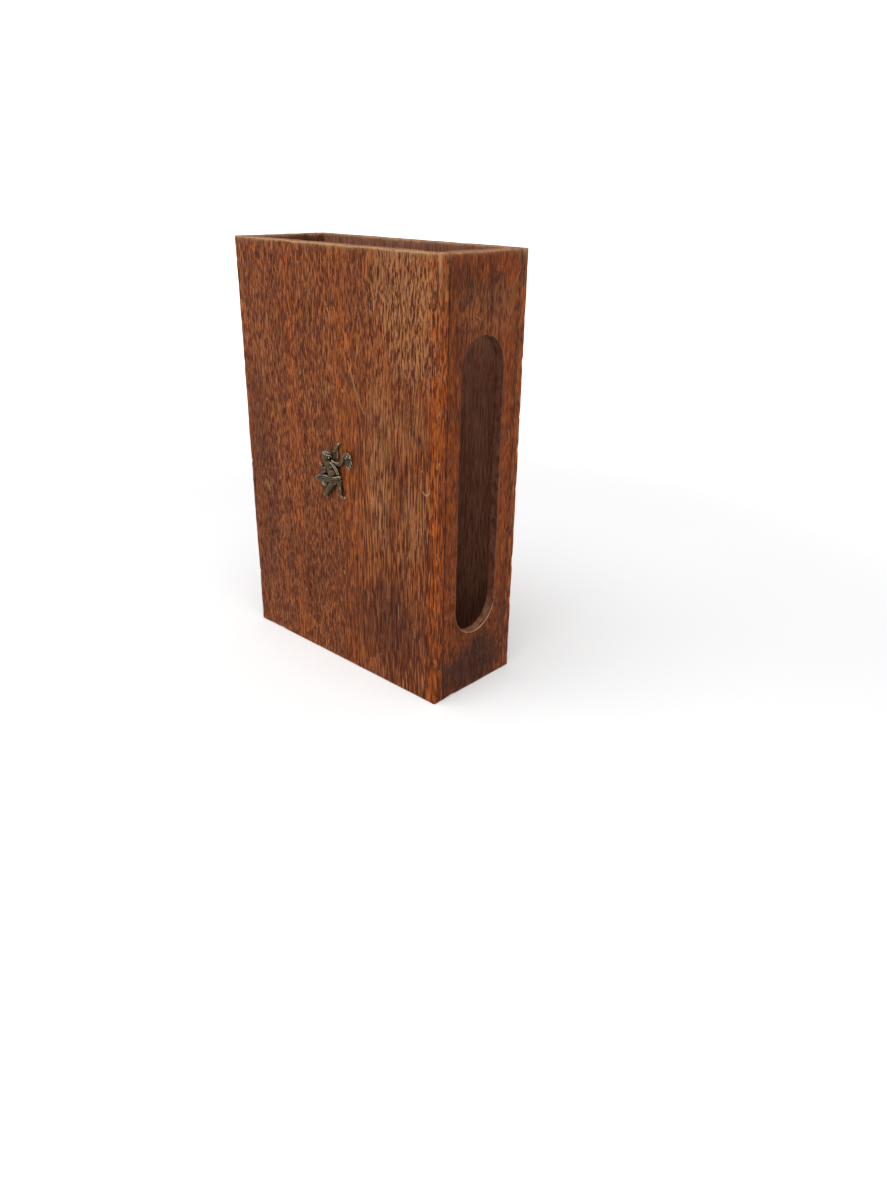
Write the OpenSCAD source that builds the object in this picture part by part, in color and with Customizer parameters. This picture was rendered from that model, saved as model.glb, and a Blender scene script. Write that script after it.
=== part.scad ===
// Matchbox holder: an upright open-topped box of four glued boards round a base, with a long
// round-ended slot in one narrow side and a small cast figure on the front.
// Millimetres. The origin is at the middle of the footprint, on the surface that it stands on.
// +X runs to the right along the front, +Y to the back and +Z up.

/* [Well] */
// Width of what the well holds
content_w = 68.6; // [55:0.1:90]
// Depth of what the well holds, front to back
content_d = 24.6; // [20:0.1:40]
// Room between the contents and each wall
content_gap = 0.3; // [0.1:0.05:1.5]

/* [Boards] */
// Height of the walls
wall_h = 113; // [95:0.5:150]
// Thickness of the front and back boards
front_t = 3; // [2.4:0.1:6]
// Thickness of the two narrow side boards
side_t = 2.8; // [2:0.1:6]
// Thickness of the base between the walls
base_t = 3; // [2:0.1:8]

/* [Edges] */
// Radius of the four upright corners
corner_r = 0.8; // [0.3:0.1:1.5]
// Radius of the outer edge of the rim
rim_r = 0.6; // [0.2:0.1:1.2]
// Radius of the inner edge of the rim
well_r = 0.3; // [0.1:0.05:0.6]
// Radius of the outer edges at the foot
foot_r = 0.4; // [0.2:0.1:1]
// Radius on both sides of each glued joint
joint_r = 0.2; // [0.1:0.05:0.4]

/* [Slot] */
// Width of the slot
slot_w = 15.5; // [8:0.5:18]
// Height of the lower end of the slot
slot_bottom = 16.7; // [12:0.1:30]
// Wood left above the slot
slot_top_margin = 18.7; // [10:0.1:40]
// Radius of the slot's edge on the outside
slot_r = 0.35; // [0.1:0.05:0.8]
// Radius of the slot's edge on the inside
slot_inner_r = 0.2; // [0.1:0.05:0.5]

/* [Figure] */
// Height of the cast figure
figure_h = 15.7; // [10:0.1:24]
// Shift of the figure's middle to the right of the board's middle
figure_shift = 0; // [-12:0.5:12]
// Height of the figure's middle above the board's middle
figure_lift = 0; // [-20:0.5:20]
// Height of the relief above the board
figure_relief = 2.6; // [2:0.1:4]

/* [Pins] */
// Diameter of the pins behind the figure
pin_d = 0.9; // [0.6:0.05:1.2]
// Depth of the pins in the front board
pin_depth = 1.8; // [1:0.1:2]
// Room round each pin in its hole
pin_gap = 0.05; // [0.02:0.01:0.1]
// Room at the bottom of each pin hole
pin_end_gap = 0.2; // [0.1:0.05:0.3]

/* [Hidden] */
$fn = 64;
eps = 0.01;

well_w = content_w + 2 * content_gap;
well_d = content_d + 2 * content_gap;
outer_w = well_w + 2 * side_t;
outer_d = well_d + 2 * front_t;
front_y = -outer_d / 2;

slot_top = wall_h - slot_top_margin;
slot_low_z = slot_bottom + slot_w / 2;
slot_high_z = slot_top - slot_w / 2;

// The figure's places are [right, up, out from the board, radius] in units of its drawing,
// which is 15.67 units high and stands out by 2.46
drawing_scale = [1 / 15.67, 1 / 2.46, 1 / 15.67];
figure_scale = [for (i = [0 : 2]) (i == 1 ? figure_relief : figure_h) * drawing_scale[i]];
figure_mid = [figure_shift, front_y, wall_h / 2 + figure_lift];
body_fn = 14;
limb_fn = 12;
small_fn = 8;

head = [-1.26, 4.25, 1.2, 1.17];
// Each curl's way out from the head's middle and its radius, then the angles of the first one,
// round the head and out from the board, and the steps to the next curl and the next row
curl = [1.1, 0.36];
curl_rows = 3;
curl_first = [128, 8];
next_curl = [-34, 0];
next_row = [-4, 24];
// The cloth's bunched end: its middle, its frills' way out from there and radius, and its coil's
// first angle and way out, with the step to the next
bunch = [-2.97, -3.55];
frill = [0.92, 0.34];
frill_count = 9;
coil_count = 8;
coil_first = [150, 0.86];
next_coil = [-70, -0.08];
// Foot under each ball: its share of the ball's radius, and its height
foot = [0.8, 0.1];
pin_places = [[-0.5, 1.2], [0.5, -1.7]];

wood_front = [0.52, 0.27, 0.16];
wood_side = [0.46, 0.24, 0.14];
wood_inside = [0.34, 0.2, 0.13];
bronze = [0.27, 0.23, 0.18];
brass = [0.6, 0.48, 0.26];

// Rectangle with its lower left corner at the origin and its own radius at each corner,
// in the order lower left, lower right, upper right, upper left
module eased_rectangle(w, h, radii) {
    difference() {
        square([w, h]);
        for (i = [0 : 3])
            if (radii[i] > 0)
                translate([(i == 1 || i == 2) ? w : 0, i > 1 ? h : 0])
                    mirror([(i == 1 || i == 2) ? 1 : 0, 0])
                        mirror([0, i > 1 ? 1 : 0])
                            corner_waste(radii[i]);
    }
}

// What a rounding plane takes off a square corner
module corner_waste(r) {
    difference() {
        translate([-eps, -eps]) square(r + eps);
        translate([r, r]) circle(r);
    }
}

// Board with its plan, its end view and its face each rounded at their own corners
module eased_board(w, d, h, plan, section, face_corners) {
    intersection() {
        translate([-w / 2, 0, 0]) linear_extrude(h) eased_rectangle(w, d, plan);
        translate([-w / 2, 0, 0])
            rotate([90, 0, 90]) linear_extrude(w) eased_rectangle(d, h, section);
        translate([-w / 2, d, 0])
            rotate([90, 0, 0]) linear_extrude(d) eased_rectangle(w, h, face_corners);
    }
}

// Wide board with its outer face towards -Y, at y = 0
module wide_board() {
    eased_board(outer_w, front_t, wall_h,
                [corner_r, corner_r, joint_r, joint_r],
                [foot_r, 0, well_r, rim_r],
                [foot_r, foot_r, rim_r, rim_r]);
}

// Narrow board between the wide ones, with its outer face towards -Y, at y = 0
module narrow_board() {
    eased_board(well_d, side_t, wall_h,
                [joint_r, joint_r, 0, 0],
                [foot_r, 0, well_r, rim_r],
                [0, 0, 0, 0]);
}

// Half of the slot's cross-section, from its middle outwards, through a board of thickness side_t.
// The edge flares with a quarter round at each face.
module slot_half_profile() {
    square([slot_w / 2, side_t]);
    slot_flare(slot_r);
    translate([0, side_t]) mirror([0, 1]) slot_flare(slot_inner_r);
}

module slot_flare(r) {
    difference() {
        square([slot_w / 2 + r, r]);
        translate([slot_w / 2 + r, r]) circle(r);
    }
}

// Half-round end of the slot, below its centre, cut along Y from the outer face at y = 0
module slot_end() {
    rotate([-90, 0, 0]) rotate_extrude(angle = 180) slot_half_profile();
}

// The slot's waste: a straight run between two half-round ends
module slot_waste() {
    translate([0, 0, slot_low_z])
        linear_extrude(slot_high_z - slot_low_z) {
            slot_half_profile();
            mirror([1, 0]) slot_half_profile();
        }
    translate([0, 0, slot_low_z]) slot_end();
    translate([0, 0, slot_high_z]) mirror([0, 0, 1]) slot_end();
}

// From a place on the board's face behind the figure, pointing into the board
module at_pin(place) {
    translate(figure_mid + [place[0] * figure_scale[0], 0, place[1] * figure_scale[2]])
        rotate([-90, 0, 0]) children();
}

module pin_hole(place) {
    at_pin(place)
        translate([0, 0, -eps])
            cylinder(d = pin_d + 2 * pin_gap, h = pin_depth + pin_end_gap + eps);
}

module front_panel() {
    color(wood_front)
        difference() {
            translate([0, front_y, 0]) wide_board();
            for (place = pin_places) pin_hole(place);
        }
}

module back_panel() {
    color(wood_front)
        rotate([0, 0, 180]) translate([0, front_y, 0]) wide_board();
}

module slotted_side() {
    color(wood_side)
        rotate([0, 0, 90]) translate([0, -outer_w / 2, 0])
            difference() {
                narrow_board();
                slot_waste();
            }
}

module plain_side() {
    color(wood_side)
        rotate([0, 0, -90]) translate([0, -outer_w / 2, 0]) narrow_board();
}

module base_panel() {
    color(wood_inside)
        translate([0, -well_d / 2, 0])
            eased_board(well_w, well_d, base_t,
                        [0, 0, 0, 0], [joint_r, joint_r, 0, 0], [joint_r, joint_r, 0, 0]);
}

// Ball of the figure with a foot that carries it down to the board
module ball(p) {
    translate([p[0], -p[2], p[1]]) sphere(p[3]);
    translate([p[0], 0, p[1]]) rotate([90, 0, 0]) cylinder(r = foot[0] * p[3], h = foot[1]);
}

// Tapering run from ball to ball
module limb(places) {
    for (i = [1 : len(places) - 1])
        hull() {
            ball(places[i - 1]);
            ball(places[i]);
        }
}

// Balls in a row, each one step on from the last
module ball_row(first, step, count) {
    for (i = [0 : count - 1]) ball(first + i * step);
}

// Head turned to the left, with a child's face and rows of curls
module figure_head($fn = limb_fn) {
    ball(head, $fn = body_fn);
    ball([-1.55, 3.72, 1.3, 0.88], $fn = body_fn);
    // Near cheek, nose, chin and ear
    ball([-1.56, 3.5, 1.82, 0.43], $fn = small_fn);
    limb([[-2.27, 3.85, 1.75, 0.1], [-2.4, 3.5, 1.77, 0.17]], $fn = small_fn);
    ball([-1.88, 3.02, 1.5, 0.26], $fn = small_fn);
    ball([-0.71, 4.12, 2.1, 0.24], $fn = small_fn);
    // Rows of curls from the forehead over to the nape, clear of the face
    for (row = [0 : curl_rows - 1], turn = [0 : 5 - row])
        let (a = curl_first + turn * next_curl + row * next_row,
             way = [cos(a[0]) * cos(a[1]), sin(a[0]) * cos(a[1]), sin(a[1])])
            ball(concat([for (i = [0 : 2]) head[i] + curl[0] * way[i]], curl[1]));
    limb([[-1.11, 2.99, 0.95, 0.66], [-0.67, 2.16, 0.9, 0.78]]);
}

module figure_body($fn = body_fn) {
    limb([[-0.94, 1.47, 0.6, 1.27], [-0.33, 0.4, 0.6, 1.22], [0.29, -0.68, 0.65, 1.35],
          [0.6, -2.04, 0.45, 1.3]]);
    limb([[-0.5, 1, 0.8, 1.15], [0.45, -0.25, 0.95, 1.2], [0.6, -1.4, 0.6, 1.1]]);
    // Flank
    limb([[0.5, 1.9, 0.4, 0.8], [1.35, 0.7, 0.4, 0.85], [1.75, -0.7, 0.4, 0.9]]);
    // Shoulders
    limb([[-1.07, 1.88, 0.9, 0.75], [0.23, 2.28, 0.75, 0.72]], $fn = limb_fn);
    // Sash from the shoulder down the flank
    limb([[0.14, 2.55, 1.1, 0.3], [0.93, 2.06, 1.15, 0.3], [1.71, 1.31, 1.1, 0.3],
          [2.25, 0.43, 0.95, 0.3], [2.6, -0.59, 0.8, 0.28]], $fn = small_fn);
}

// Near arm down across the body to the cloth, and the other hand held up in front
module figure_arms($fn = limb_fn) {
    limb([[-1.23, 2.01, 1.2, 0.62], [-1.49, 0.96, 1.3, 0.58], [-1.93, -0.06, 1.28, 0.5],
          [-3.51, -1.1, 1.15, 0.44], [-5.04, -2.05, 0.95, 0.33], [-5.75, -2.52, 0.85, 0.36]]);
    limb([[-2.93, 0.12, 0.75, 0.42], [-3.7, 0.63, 0.9, 0.38]]);
    limb([[-4.35, 0.85, 0.85, 0.5], [-4.6, 0.95, 0.85, 0.45]]);
    ball_row([-4.9, 1.32, 0.9, 0.18], [0.02, -0.22, 0, 0], 4, $fn = small_fn);
    limb([[-4.0, 1.1, 1.2, 0.15], [-4.45, 1.05, 1.35, 0.15]], $fn = small_fn);
}

// Cloth round the hips: a mass, two long folds over it, a ruffled hem and a bunched end
module figure_cloth($fn = small_fn) {
    limb([[-4.98, -3.38, 0.55, 0.5], [-0.86, -2.39, 0.8, 0.82], [2.19, -1.7, 0.55, 0.85]],
         $fn = limb_fn);
    limb([[-5.53, -3.82, 0.5, 0.35], [-3.56, -3.61, 0.5, 0.6]]);
    limb([[-6.62, -3.02, 0.8, 0.24], [-4.64, -1.97, 1.15, 0.28], [-2.31, -1.41, 1.45, 0.27],
          [0.3, -1.22, 1.75, 0.26], [2.14, -1.04, 1.6, 0.27], [3.04, -0.75, 1.25, 0.27],
          [3.35, -0.74, 0.95, 0.24]]);
    limb([[-5.52, -2.96, 0.85, 0.22], [-3.52, -2.23, 1.2, 0.24], [-1.55, -1.9, 1.45, 0.22],
          [0.49, -1.78, 1.65, 0.22], [2.16, -1.56, 1.45, 0.22], [2.92, -1.35, 1.1, 0.22],
          [3.28, -1.32, 0.75, 0.2]]);
    limb([[-1.53, -2.43, 1.3, 0.17], [-0.46, -2.53, 1.45, 0.2], [0.57, -2.27, 1.45, 0.2],
          [1.34, -2.42, 1.35, 0.2], [2.24, -1.99, 1.25, 0.19], [2.73, -2.06, 1, 0.19],
          [3.17, -1.87, 0.6, 0.18]]);
    limb([[-1.39, -2.97, 1.15, 0.16], [-0.32, -3.03, 1.3, 0.2], [0.53, -2.78, 1.25, 0.2],
          [1.3, -3.05, 1.15, 0.2], [2.1, -2.53, 1.05, 0.18], [2.71, -2.59, 0.85, 0.18],
          [3.12, -2.36, 0.5, 0.17]]);
    limb([[-6.66, -3.51, 0.6, 0.22], [-5.61, -3.44, 0.7, 0.22], [-4.57, -3.46, 0.8, 0.2]]);
    // The bunched end turns in on itself, with a frilled rim
    ball([bunch[0], bunch[1], 0.4, 0.95], $fn = limb_fn);
    for (i = [0 : frill_count - 1])
        let (around = 360 / frill_count * i)
            ball([bunch[0] + frill[0] * cos(around), bunch[1] + frill[0] * sin(around), 0.75, frill[1]]);
    limb([for (i = [0 : coil_count - 1])
              let (a = coil_first + i * next_coil)
                  [bunch[0] + a[1] * cos(a[0]), bunch[1] + a[1] * sin(a[0]),
                   1.16 + 0.03 * i, 0.17]]);
}

module figure_legs($fn = limb_fn) {
    // Near leg, bent, with its foot behind
    limb([[0.21, -3.17, 0.7, 1], [-0.75, -4.45, 0.8, 0.98], [-1.78, -5.71, 0.8, 0.8],
          [-2.46, -6.38, 0.6, 0.6], [-2.88, -7.0, 0.45, 0.42]]);
    limb([[-2.78, -7.08, 0.5, 0.4], [-3.29, -6.99, 0.5, 0.34], [-3.69, -6.95, 0.45, 0.27]]);
    // Far leg, striding
    limb([[2.33, -2.41, 0.55, 0.72], [2.76, -3.37, 0.6, 0.63], [3.04, -4.4, 0.55, 0.5],
          [3.07, -5.17, 0.5, 0.36], [2.64, -5.89, 0.5, 0.36]]);
    limb([[2.24, -5.88, 0.5, 0.36], [3.13, -6.11, 0.55, 0.35], [3.85, -6.52, 0.42, 0.29]]);
    // Toes
    ball_row([-3.93, -6.72, 0.42, 0.16], [0.02, -0.2, 0, 0], 4, $fn = small_fn);
    ball_row([4.05, -6.75, 0.4, 0.15], [0.13, 0.16, 0, 0], 4, $fn = small_fn);
}

// One wing stands up behind the head, and the other arches out to the right
module figure_wings($fn = small_fn) {
    for (i = [0 : 3])
        limb([[0.36, 3.05, 0.35, 0.25] + i * [0.51, 0.27, 0, 0],
              [0.58, 5.6, 0.5, 0.3] + i * [0.51, 0.13, 0, 0]]);
    limb([[1.16, 5.53, 0.4, 0.46], [1.49, 6.17, 0.4, 0.52], [1.95, 6.92, 0.4, 0.46],
          [2.37, 7.58, 0.35, 0.33], [2.67, 8.06, 0.3, 0.15]], $fn = limb_fn);
    limb([[0.18, 2.48, 0.8, 0.5], [1.12, 2.36, 0.7, 0.44], [2.27, 2.27, 0.55, 0.46],
          [3.32, 2.6, 0.5, 0.5], [4.02, 3.57, 0.5, 0.5], [4.46, 4.56, 0.5, 0.48],
          [5.09, 5.38, 0.45, 0.44], [5.91, 5.85, 0.42, 0.38], [6.73, 5.63, 0.38, 0.34],
          [7.21, 4.96, 0.35, 0.28]], $fn = limb_fn);
    // Ridges along its root
    limb([[0.58, 3.27, 1.3, 0.13], [1.39, 2.98, 1.15, 0.14], [2.53, 2.87, 1, 0.14],
          [3.7, 3.32, 0.95, 0.1]]);
    limb([[0.87, 2.91, 1.35, 0.12], [1.59, 2.61, 1.15, 0.13], [2.73, 2.46, 1, 0.12]]);
    // Long feathers that hang from it
    feather_roots = [[4.97, 4.65], [5.37, 4.96], [6.03, 5.32], [6.68, 5.46], [7.0, 5.2]];
    feather_tips = [[5.01, 2.91], [5.46, 2.12], [6.31, 1.82], [6.85, 2.39], [7.2, 3.39]];
    for (i = [0 : len(feather_roots) - 1])
        let (root = feather_roots[i], tip = feather_tips[i])
            limb([[root[0], root[1], 0.45, 0.26], [tip[0], tip[1] + 0.5, 0.3, 0.3],
                  [tip[0], tip[1], 0.25, 0.16]]);
}

// The casting: everything in front of the board's face, cut flat at the back
module putto_ornament() {
    color(bronze)
        translate(figure_mid)
            intersection() {
                scale(figure_scale) {
                    figure_head();
                    figure_body();
                    figure_arms();
                    figure_cloth();
                    figure_legs();
                    figure_wings();
                }
                translate([-figure_h, -figure_h, -figure_h])
                    cube([2 * figure_h, figure_h, 2 * figure_h]);
            }
}

// Two pins that hold the casting, each from its flat back into a blind hole
module ornament_pins() {
    color(brass)
        for (place = pin_places)
            at_pin(place) cylinder(d = pin_d, h = pin_depth);
}

front_panel();
back_panel();
slotted_side();
plain_side();
base_panel();
putto_ornament();
ornament_pins();
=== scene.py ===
import math
import random

import bpy
import numpy as np
from mathutils import Matrix, Vector, noise


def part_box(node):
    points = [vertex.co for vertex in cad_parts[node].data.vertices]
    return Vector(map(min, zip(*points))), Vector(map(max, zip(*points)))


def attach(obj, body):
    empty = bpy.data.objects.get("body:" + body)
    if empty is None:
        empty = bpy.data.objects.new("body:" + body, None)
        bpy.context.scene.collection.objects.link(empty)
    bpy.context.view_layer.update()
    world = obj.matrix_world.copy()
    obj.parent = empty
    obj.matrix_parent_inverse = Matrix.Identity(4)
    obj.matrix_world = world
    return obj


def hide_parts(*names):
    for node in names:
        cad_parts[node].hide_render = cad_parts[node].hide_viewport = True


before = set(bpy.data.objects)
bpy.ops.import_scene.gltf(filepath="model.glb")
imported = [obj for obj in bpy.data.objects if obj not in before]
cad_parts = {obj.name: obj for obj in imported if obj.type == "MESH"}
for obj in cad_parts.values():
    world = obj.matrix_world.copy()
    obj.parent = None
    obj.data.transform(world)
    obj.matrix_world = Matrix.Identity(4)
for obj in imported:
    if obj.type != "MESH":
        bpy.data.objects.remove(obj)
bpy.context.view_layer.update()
print("frame loaded:", ", ".join(sorted(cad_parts)))

mm = 0.001  # shapes and patterns below are worked out in millimetres


# Camera, where the photograph was taken from

cameraSetup = {
    "azimuth": 42.18,  # degrees round from straight on, towards the slotted side
    "elevation": 24.74,  # degrees above level
    "roll": 1.06,  # degrees, clockwise
    "place": (174.7, -164.3, 126.8),  # mm
    "lens": 27.05,  # mm, for a 36 mm sensor along the picture's long side
}


def cameraAxes(setup):
    azimuth, elevation, roll = (math.radians(setup[k]) for k in ("azimuth", "elevation", "roll"))
    back = Vector((math.sin(azimuth) * math.cos(elevation),
                   -math.cos(azimuth) * math.cos(elevation), math.sin(elevation)))
    level = Vector((math.cos(azimuth), math.sin(azimuth), 0))
    upright = back.cross(level)
    right = level * math.cos(roll) + upright * math.sin(roll)
    up = upright * math.cos(roll) - level * math.sin(roll)
    return right, up, back


def placeCamera(setup):
    data = bpy.data.cameras.new("photoCamera")
    data.sensor_width = 36
    data.lens = setup["lens"]
    data.clip_start = 0.01
    camera = bpy.data.objects.new("photoCamera", data)
    bpy.context.scene.collection.objects.link(camera)
    turned = Matrix(cameraAxes(setup)).transposed().to_4x4()
    camera.matrix_world = Matrix.Translation(Vector(setup["place"]) * mm) @ turned
    bpy.context.scene.camera = camera


placeCamera(cameraSetup)
print("camera placed")


# Helpers for materials. Pattern coordinates are millimetres of the object's own frame.

def addNode(tree, kind, inputs=None, **settings):
    made = tree.nodes.new(kind)
    for name, value in settings.items():
        setattr(made, name, value)
    for key, value in (inputs or {}).items():
        if isinstance(value, bpy.types.NodeSocket):
            tree.links.new(value, made.inputs[key])
        else:
            made.inputs[key].default_value = value
    return made


def calc(tree, operation, *values, clamp=False):
    return addNode(tree, "ShaderNodeMath", dict(enumerate(values)), operation=operation,
                   use_clamp=clamp).outputs[0]


def times(tree, *values):
    total = values[0]
    for value in values[1:]:
        total = calc(tree, "MULTIPLY", total, value)
    return total


def strongest(tree, *values):
    total = values[0]
    for value in values[1:]:
        total = calc(tree, "MAXIMUM", total, value)
    return total


def without(tree, value, taken):
    return times(tree, value, calc(tree, "SUBTRACT", 1.0, taken, clamp=True))


def fade(tree, value, low, high, start=0.0, end=1.0):
    return addNode(tree, "ShaderNodeMapRange",
                   {"Value": value, "From Min": low, "From Max": high, "To Min": start, "To Max": end},
                   interpolation_type="SMOOTHSTEP").outputs[0]


def mixColour(tree, amount, first, second, blend="MIX"):
    return addNode(tree, "ShaderNodeMix", {0: amount, 6: first, 7: second}, data_type="RGBA",
                   blend_type=blend).outputs[2]


def stretched(tree, vector, scale, shift=(0, 0, 0)):
    return addNode(tree, "ShaderNodeMapping",
                   {"Vector": vector, "Scale": scale, "Location": shift}).outputs[0]


def noiseOf(tree, vector, detail=2.0, roughness=0.5):
    return addNode(tree, "ShaderNodeTexNoise",
                   {"Vector": vector, "Scale": 1.0, "Detail": detail, "Roughness": roughness}).outputs[0]


def noiseSum(tree, vector, layers):
    # Each layer is its stretch in each direction, its detail and its weight
    total = 0.5
    for scale, detail, weight in layers:
        layer = noiseOf(tree, stretched(tree, vector, scale), detail)
        total = calc(tree, "MULTIPLY_ADD", calc(tree, "SUBTRACT", layer, 0.5), weight, total)
    return total


def attributeOf(tree, name):
    return addNode(tree, "ShaderNodeAttribute", attribute_name=name).outputs["Fac"]


def newMaterial(name):
    material = bpy.data.materials.new(name)
    material.use_nodes = True
    return material, material.node_tree, material.node_tree.nodes["Principled BSDF"]


def rgb(red, green, blue):
    # sRGB 0 to 255 to the linear values that a shader takes
    parts = [v / 255 for v in (red, green, blue)]
    return tuple(v / 12.92 if v < 0.04045 else ((v + 0.055) / 1.055) ** 2.4 for v in parts) + (1.0,)


def millimetres(tree):
    coordinates = addNode(tree, "ShaderNodeTexCoord")
    return addNode(tree, "ShaderNodeVectorMath", {0: coordinates.outputs["Object"], 1: (1000, 1000, 1000)},
                   operation="MULTIPLY").outputs[0]


# Stained wood. The grain runs along one axis, and every board reads its own stretch of it.

woodLook = {
    "wide": {
        "axes": "xyz",  # across the grain, through the board, along the grain
        "dark": rgb(82, 31, 10),
        "middle": rgb(131, 67, 31),
        "light": rgb(168, 101, 56),
        "orange": rgb(188, 94, 32),
        "plumAndShadow": rgb(98, 49, 32),
        "pore": rgb(60, 29, 17),
        "poreAmount": 0.85,
        "contrast": 1.0,
        "longPores": (-6, 14),  # across the board, from where short pores give way to long ones
        "longPoresTop": (62, 92),  # up the board, to where they end
        "wornAndHighlight": rgb(182, 142, 102),
        "haze": rgb(178, 126, 84),
        "inside": rgb(164, 112, 86),
        "insideDark": rgb(116, 71, 55),
        "roughness": 0.52,
    },
    "narrow": {
        "axes": "yxz",
        "dark": rgb(84, 34, 8),
        "middle": rgb(128, 60, 20),
        "light": rgb(154, 80, 32),
        "orange": rgb(150, 66, 16),
        "plumAndShadow": rgb(90, 48, 28),
        "pore": rgb(54, 24, 12),
        "poreAmount": 0.55,
        "contrast": 0.7,
        "longPores": (40, 60),
        "longPoresTop": (62, 92),
        "wornAndHighlight": rgb(178, 134, 98),
        "haze": rgb(150, 112, 80),
        "inside": rgb(126, 76, 48),
        "insideDark": rgb(72, 38, 24),
        "roughness": 0.48,
    },
    "base": {
        "axes": "yzx",
        "dark": rgb(70, 46, 34),
        "middle": rgb(98, 68, 50),
        "light": rgb(118, 86, 64),
        "orange": rgb(120, 80, 52),
        "plumAndShadow": rgb(80, 56, 44),
        "pore": rgb(44, 28, 21),
        "poreAmount": 0.6,
        "contrast": 0.8,
        "longPores": (40, 60),
        "longPoresTop": (62, 92),
        "wornAndHighlight": rgb(140, 112, 88),
        "haze": rgb(140, 116, 96),
        "inside": rgb(110, 82, 62),
        "insideDark": rgb(70, 48, 36),
        "roughness": 0.7,
    },
}


grainLook = {  # sizes say how often a pattern comes in a mm: across, through and along the grain
    "wander": (0.05, 0.05, 0.02),
    "wanderReach": 2.4,  # mm from side to side
    "bands": (0.17, 0.17, 0.006),
    "clouds": (0.13, 0.13, 0.08),
    "patches": (0.7, 0.7, 0.4),
    "raggedness": 2.4,  # how far patches break up the outlines of marks
    "poreDrift": 24.0,  # mm, how far clouds move the limit between short and long pores
    # Layers of size, detail and weight
    "shortFibres": (((2.4, 2.4, 0.3), 1.0, 0.5), ((4.4, 4.4, 0.5), 1.0, 3.4), ((10.0, 10.0, 1.0), 1.0, 1.2)),
    "longFibres": (((2.4, 2.4, 0.14), 1.0, 0.8), ((4.4, 4.4, 0.26), 1.0, 3.8), ((10.0, 10.0, 0.8), 1.0, 1.4)),
    "streaks": (((0.6, 0.6, 0.025), 2.0, 0.6), ((0.17, 0.17, 0.006), 2.0, 0.4)),
    # Size, shift and the noise between which a pore opens
    "shortPores": ((4.4, 4.4, 0.4), (3, 7, 5), (0.55, 0.64)),
    "longPores": ((4.2, 4.2, 0.14), (9, 2, 4), (0.53, 0.61)),
    "flecks": ((0.2, 0.2, 0.2), (0.045, 0.025)),  # size, and the radii between which a fleck fades
    "bumpDepth": 0.1,  # mm
    "bumpStrength": 0.6,
    "shine": 0.08,
}
markColours = {
    # The stain colour also paints shadow and shade
    "stainAndShade": rgb(42, 24, 20),
    "paleScratch": rgb(184, 138, 100),
    "fleck": rgb(196, 160, 120),
    "sawnDark": rgb(82, 46, 36),
    "sawnLight": rgb(120, 74, 60),
    "bloom": rgb(146, 106, 78),
    # The dirt colour also paints the shade in the joints
    "dirtAndShade": rgb(30, 16, 12),
}


def grainCoordinates(tree, axes, shift):
    parts = addNode(tree, "ShaderNodeSeparateXYZ", {0: millimetres(tree)}).outputs
    picked = [parts["xyz".index(a)] for a in axes]
    plain = addNode(tree, "ShaderNodeCombineXYZ", dict(enumerate(picked))).outputs[0]
    moved = addNode(tree, "ShaderNodeVectorMath", {0: plain, 1: shift}, operation="ADD").outputs[0]
    # The grain wanders a little from side to side
    wander = noiseOf(tree, stretched(tree, moved, grainLook["wander"]))
    reach = grainLook["wanderReach"]
    aside = calc(tree, "MULTIPLY_ADD", wander, reach, -reach / 2)
    aside = addNode(tree, "ShaderNodeCombineXYZ", {0: aside}).outputs[0]
    return plain, addNode(tree, "ShaderNodeVectorMath", {0: moved, 1: aside}, operation="ADD").outputs[0]


def softSpot(tree, across, length, ragged, spot):
    placeAcross, placeAlong, halfWidth, halfLength, strength = spot
    a = calc(tree, "DIVIDE", calc(tree, "SUBTRACT", across, placeAcross), halfWidth)
    b = calc(tree, "DIVIDE", calc(tree, "SUBTRACT", length, placeAlong), halfLength)
    away = calc(tree, "ADD", times(tree, a, a), times(tree, b, b))
    return times(tree, fade(tree, calc(tree, "ADD", away, ragged), 1.3, 0.1), strength)


def spots(tree, across, length, ragged, places):
    total = 0.0
    for spot in places:
        total = calc(tree, "MAXIMUM", softSpot(tree, across, length, ragged, spot), total)
    return total


def scratches(tree, across, length, ragged, lines):
    total = 0.0
    for fromAcross, fromAlong, toAcross, toAlong, halfWidth, strength in lines:
        runAcross, runAlong = toAcross - fromAcross, toAlong - fromAlong
        squared = runAcross ** 2 + runAlong ** 2
        a, b = calc(tree, "SUBTRACT", across, fromAcross), calc(tree, "SUBTRACT", length, fromAlong)
        gone = calc(tree, "ADD", times(tree, a, runAcross / squared), times(tree, b, runAlong / squared),
                    clamp=True)
        a = calc(tree, "SUBTRACT", a, times(tree, gone, runAcross))
        b = calc(tree, "SUBTRACT", b, times(tree, gone, runAlong))
        away = calc(tree, "SQRT", calc(tree, "ADD", times(tree, a, a), times(tree, b, b)))
        away = calc(tree, "MULTIPLY_ADD", ragged, halfWidth * 0.5, away)
        line = times(tree, fade(tree, away, halfWidth, halfWidth * 0.3), strength)
        total = calc(tree, "MAXIMUM", line, total)
    return total


def aboutMiddle(tree, value):
    return calc(tree, "SUBTRACT", value, 0.5)


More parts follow.
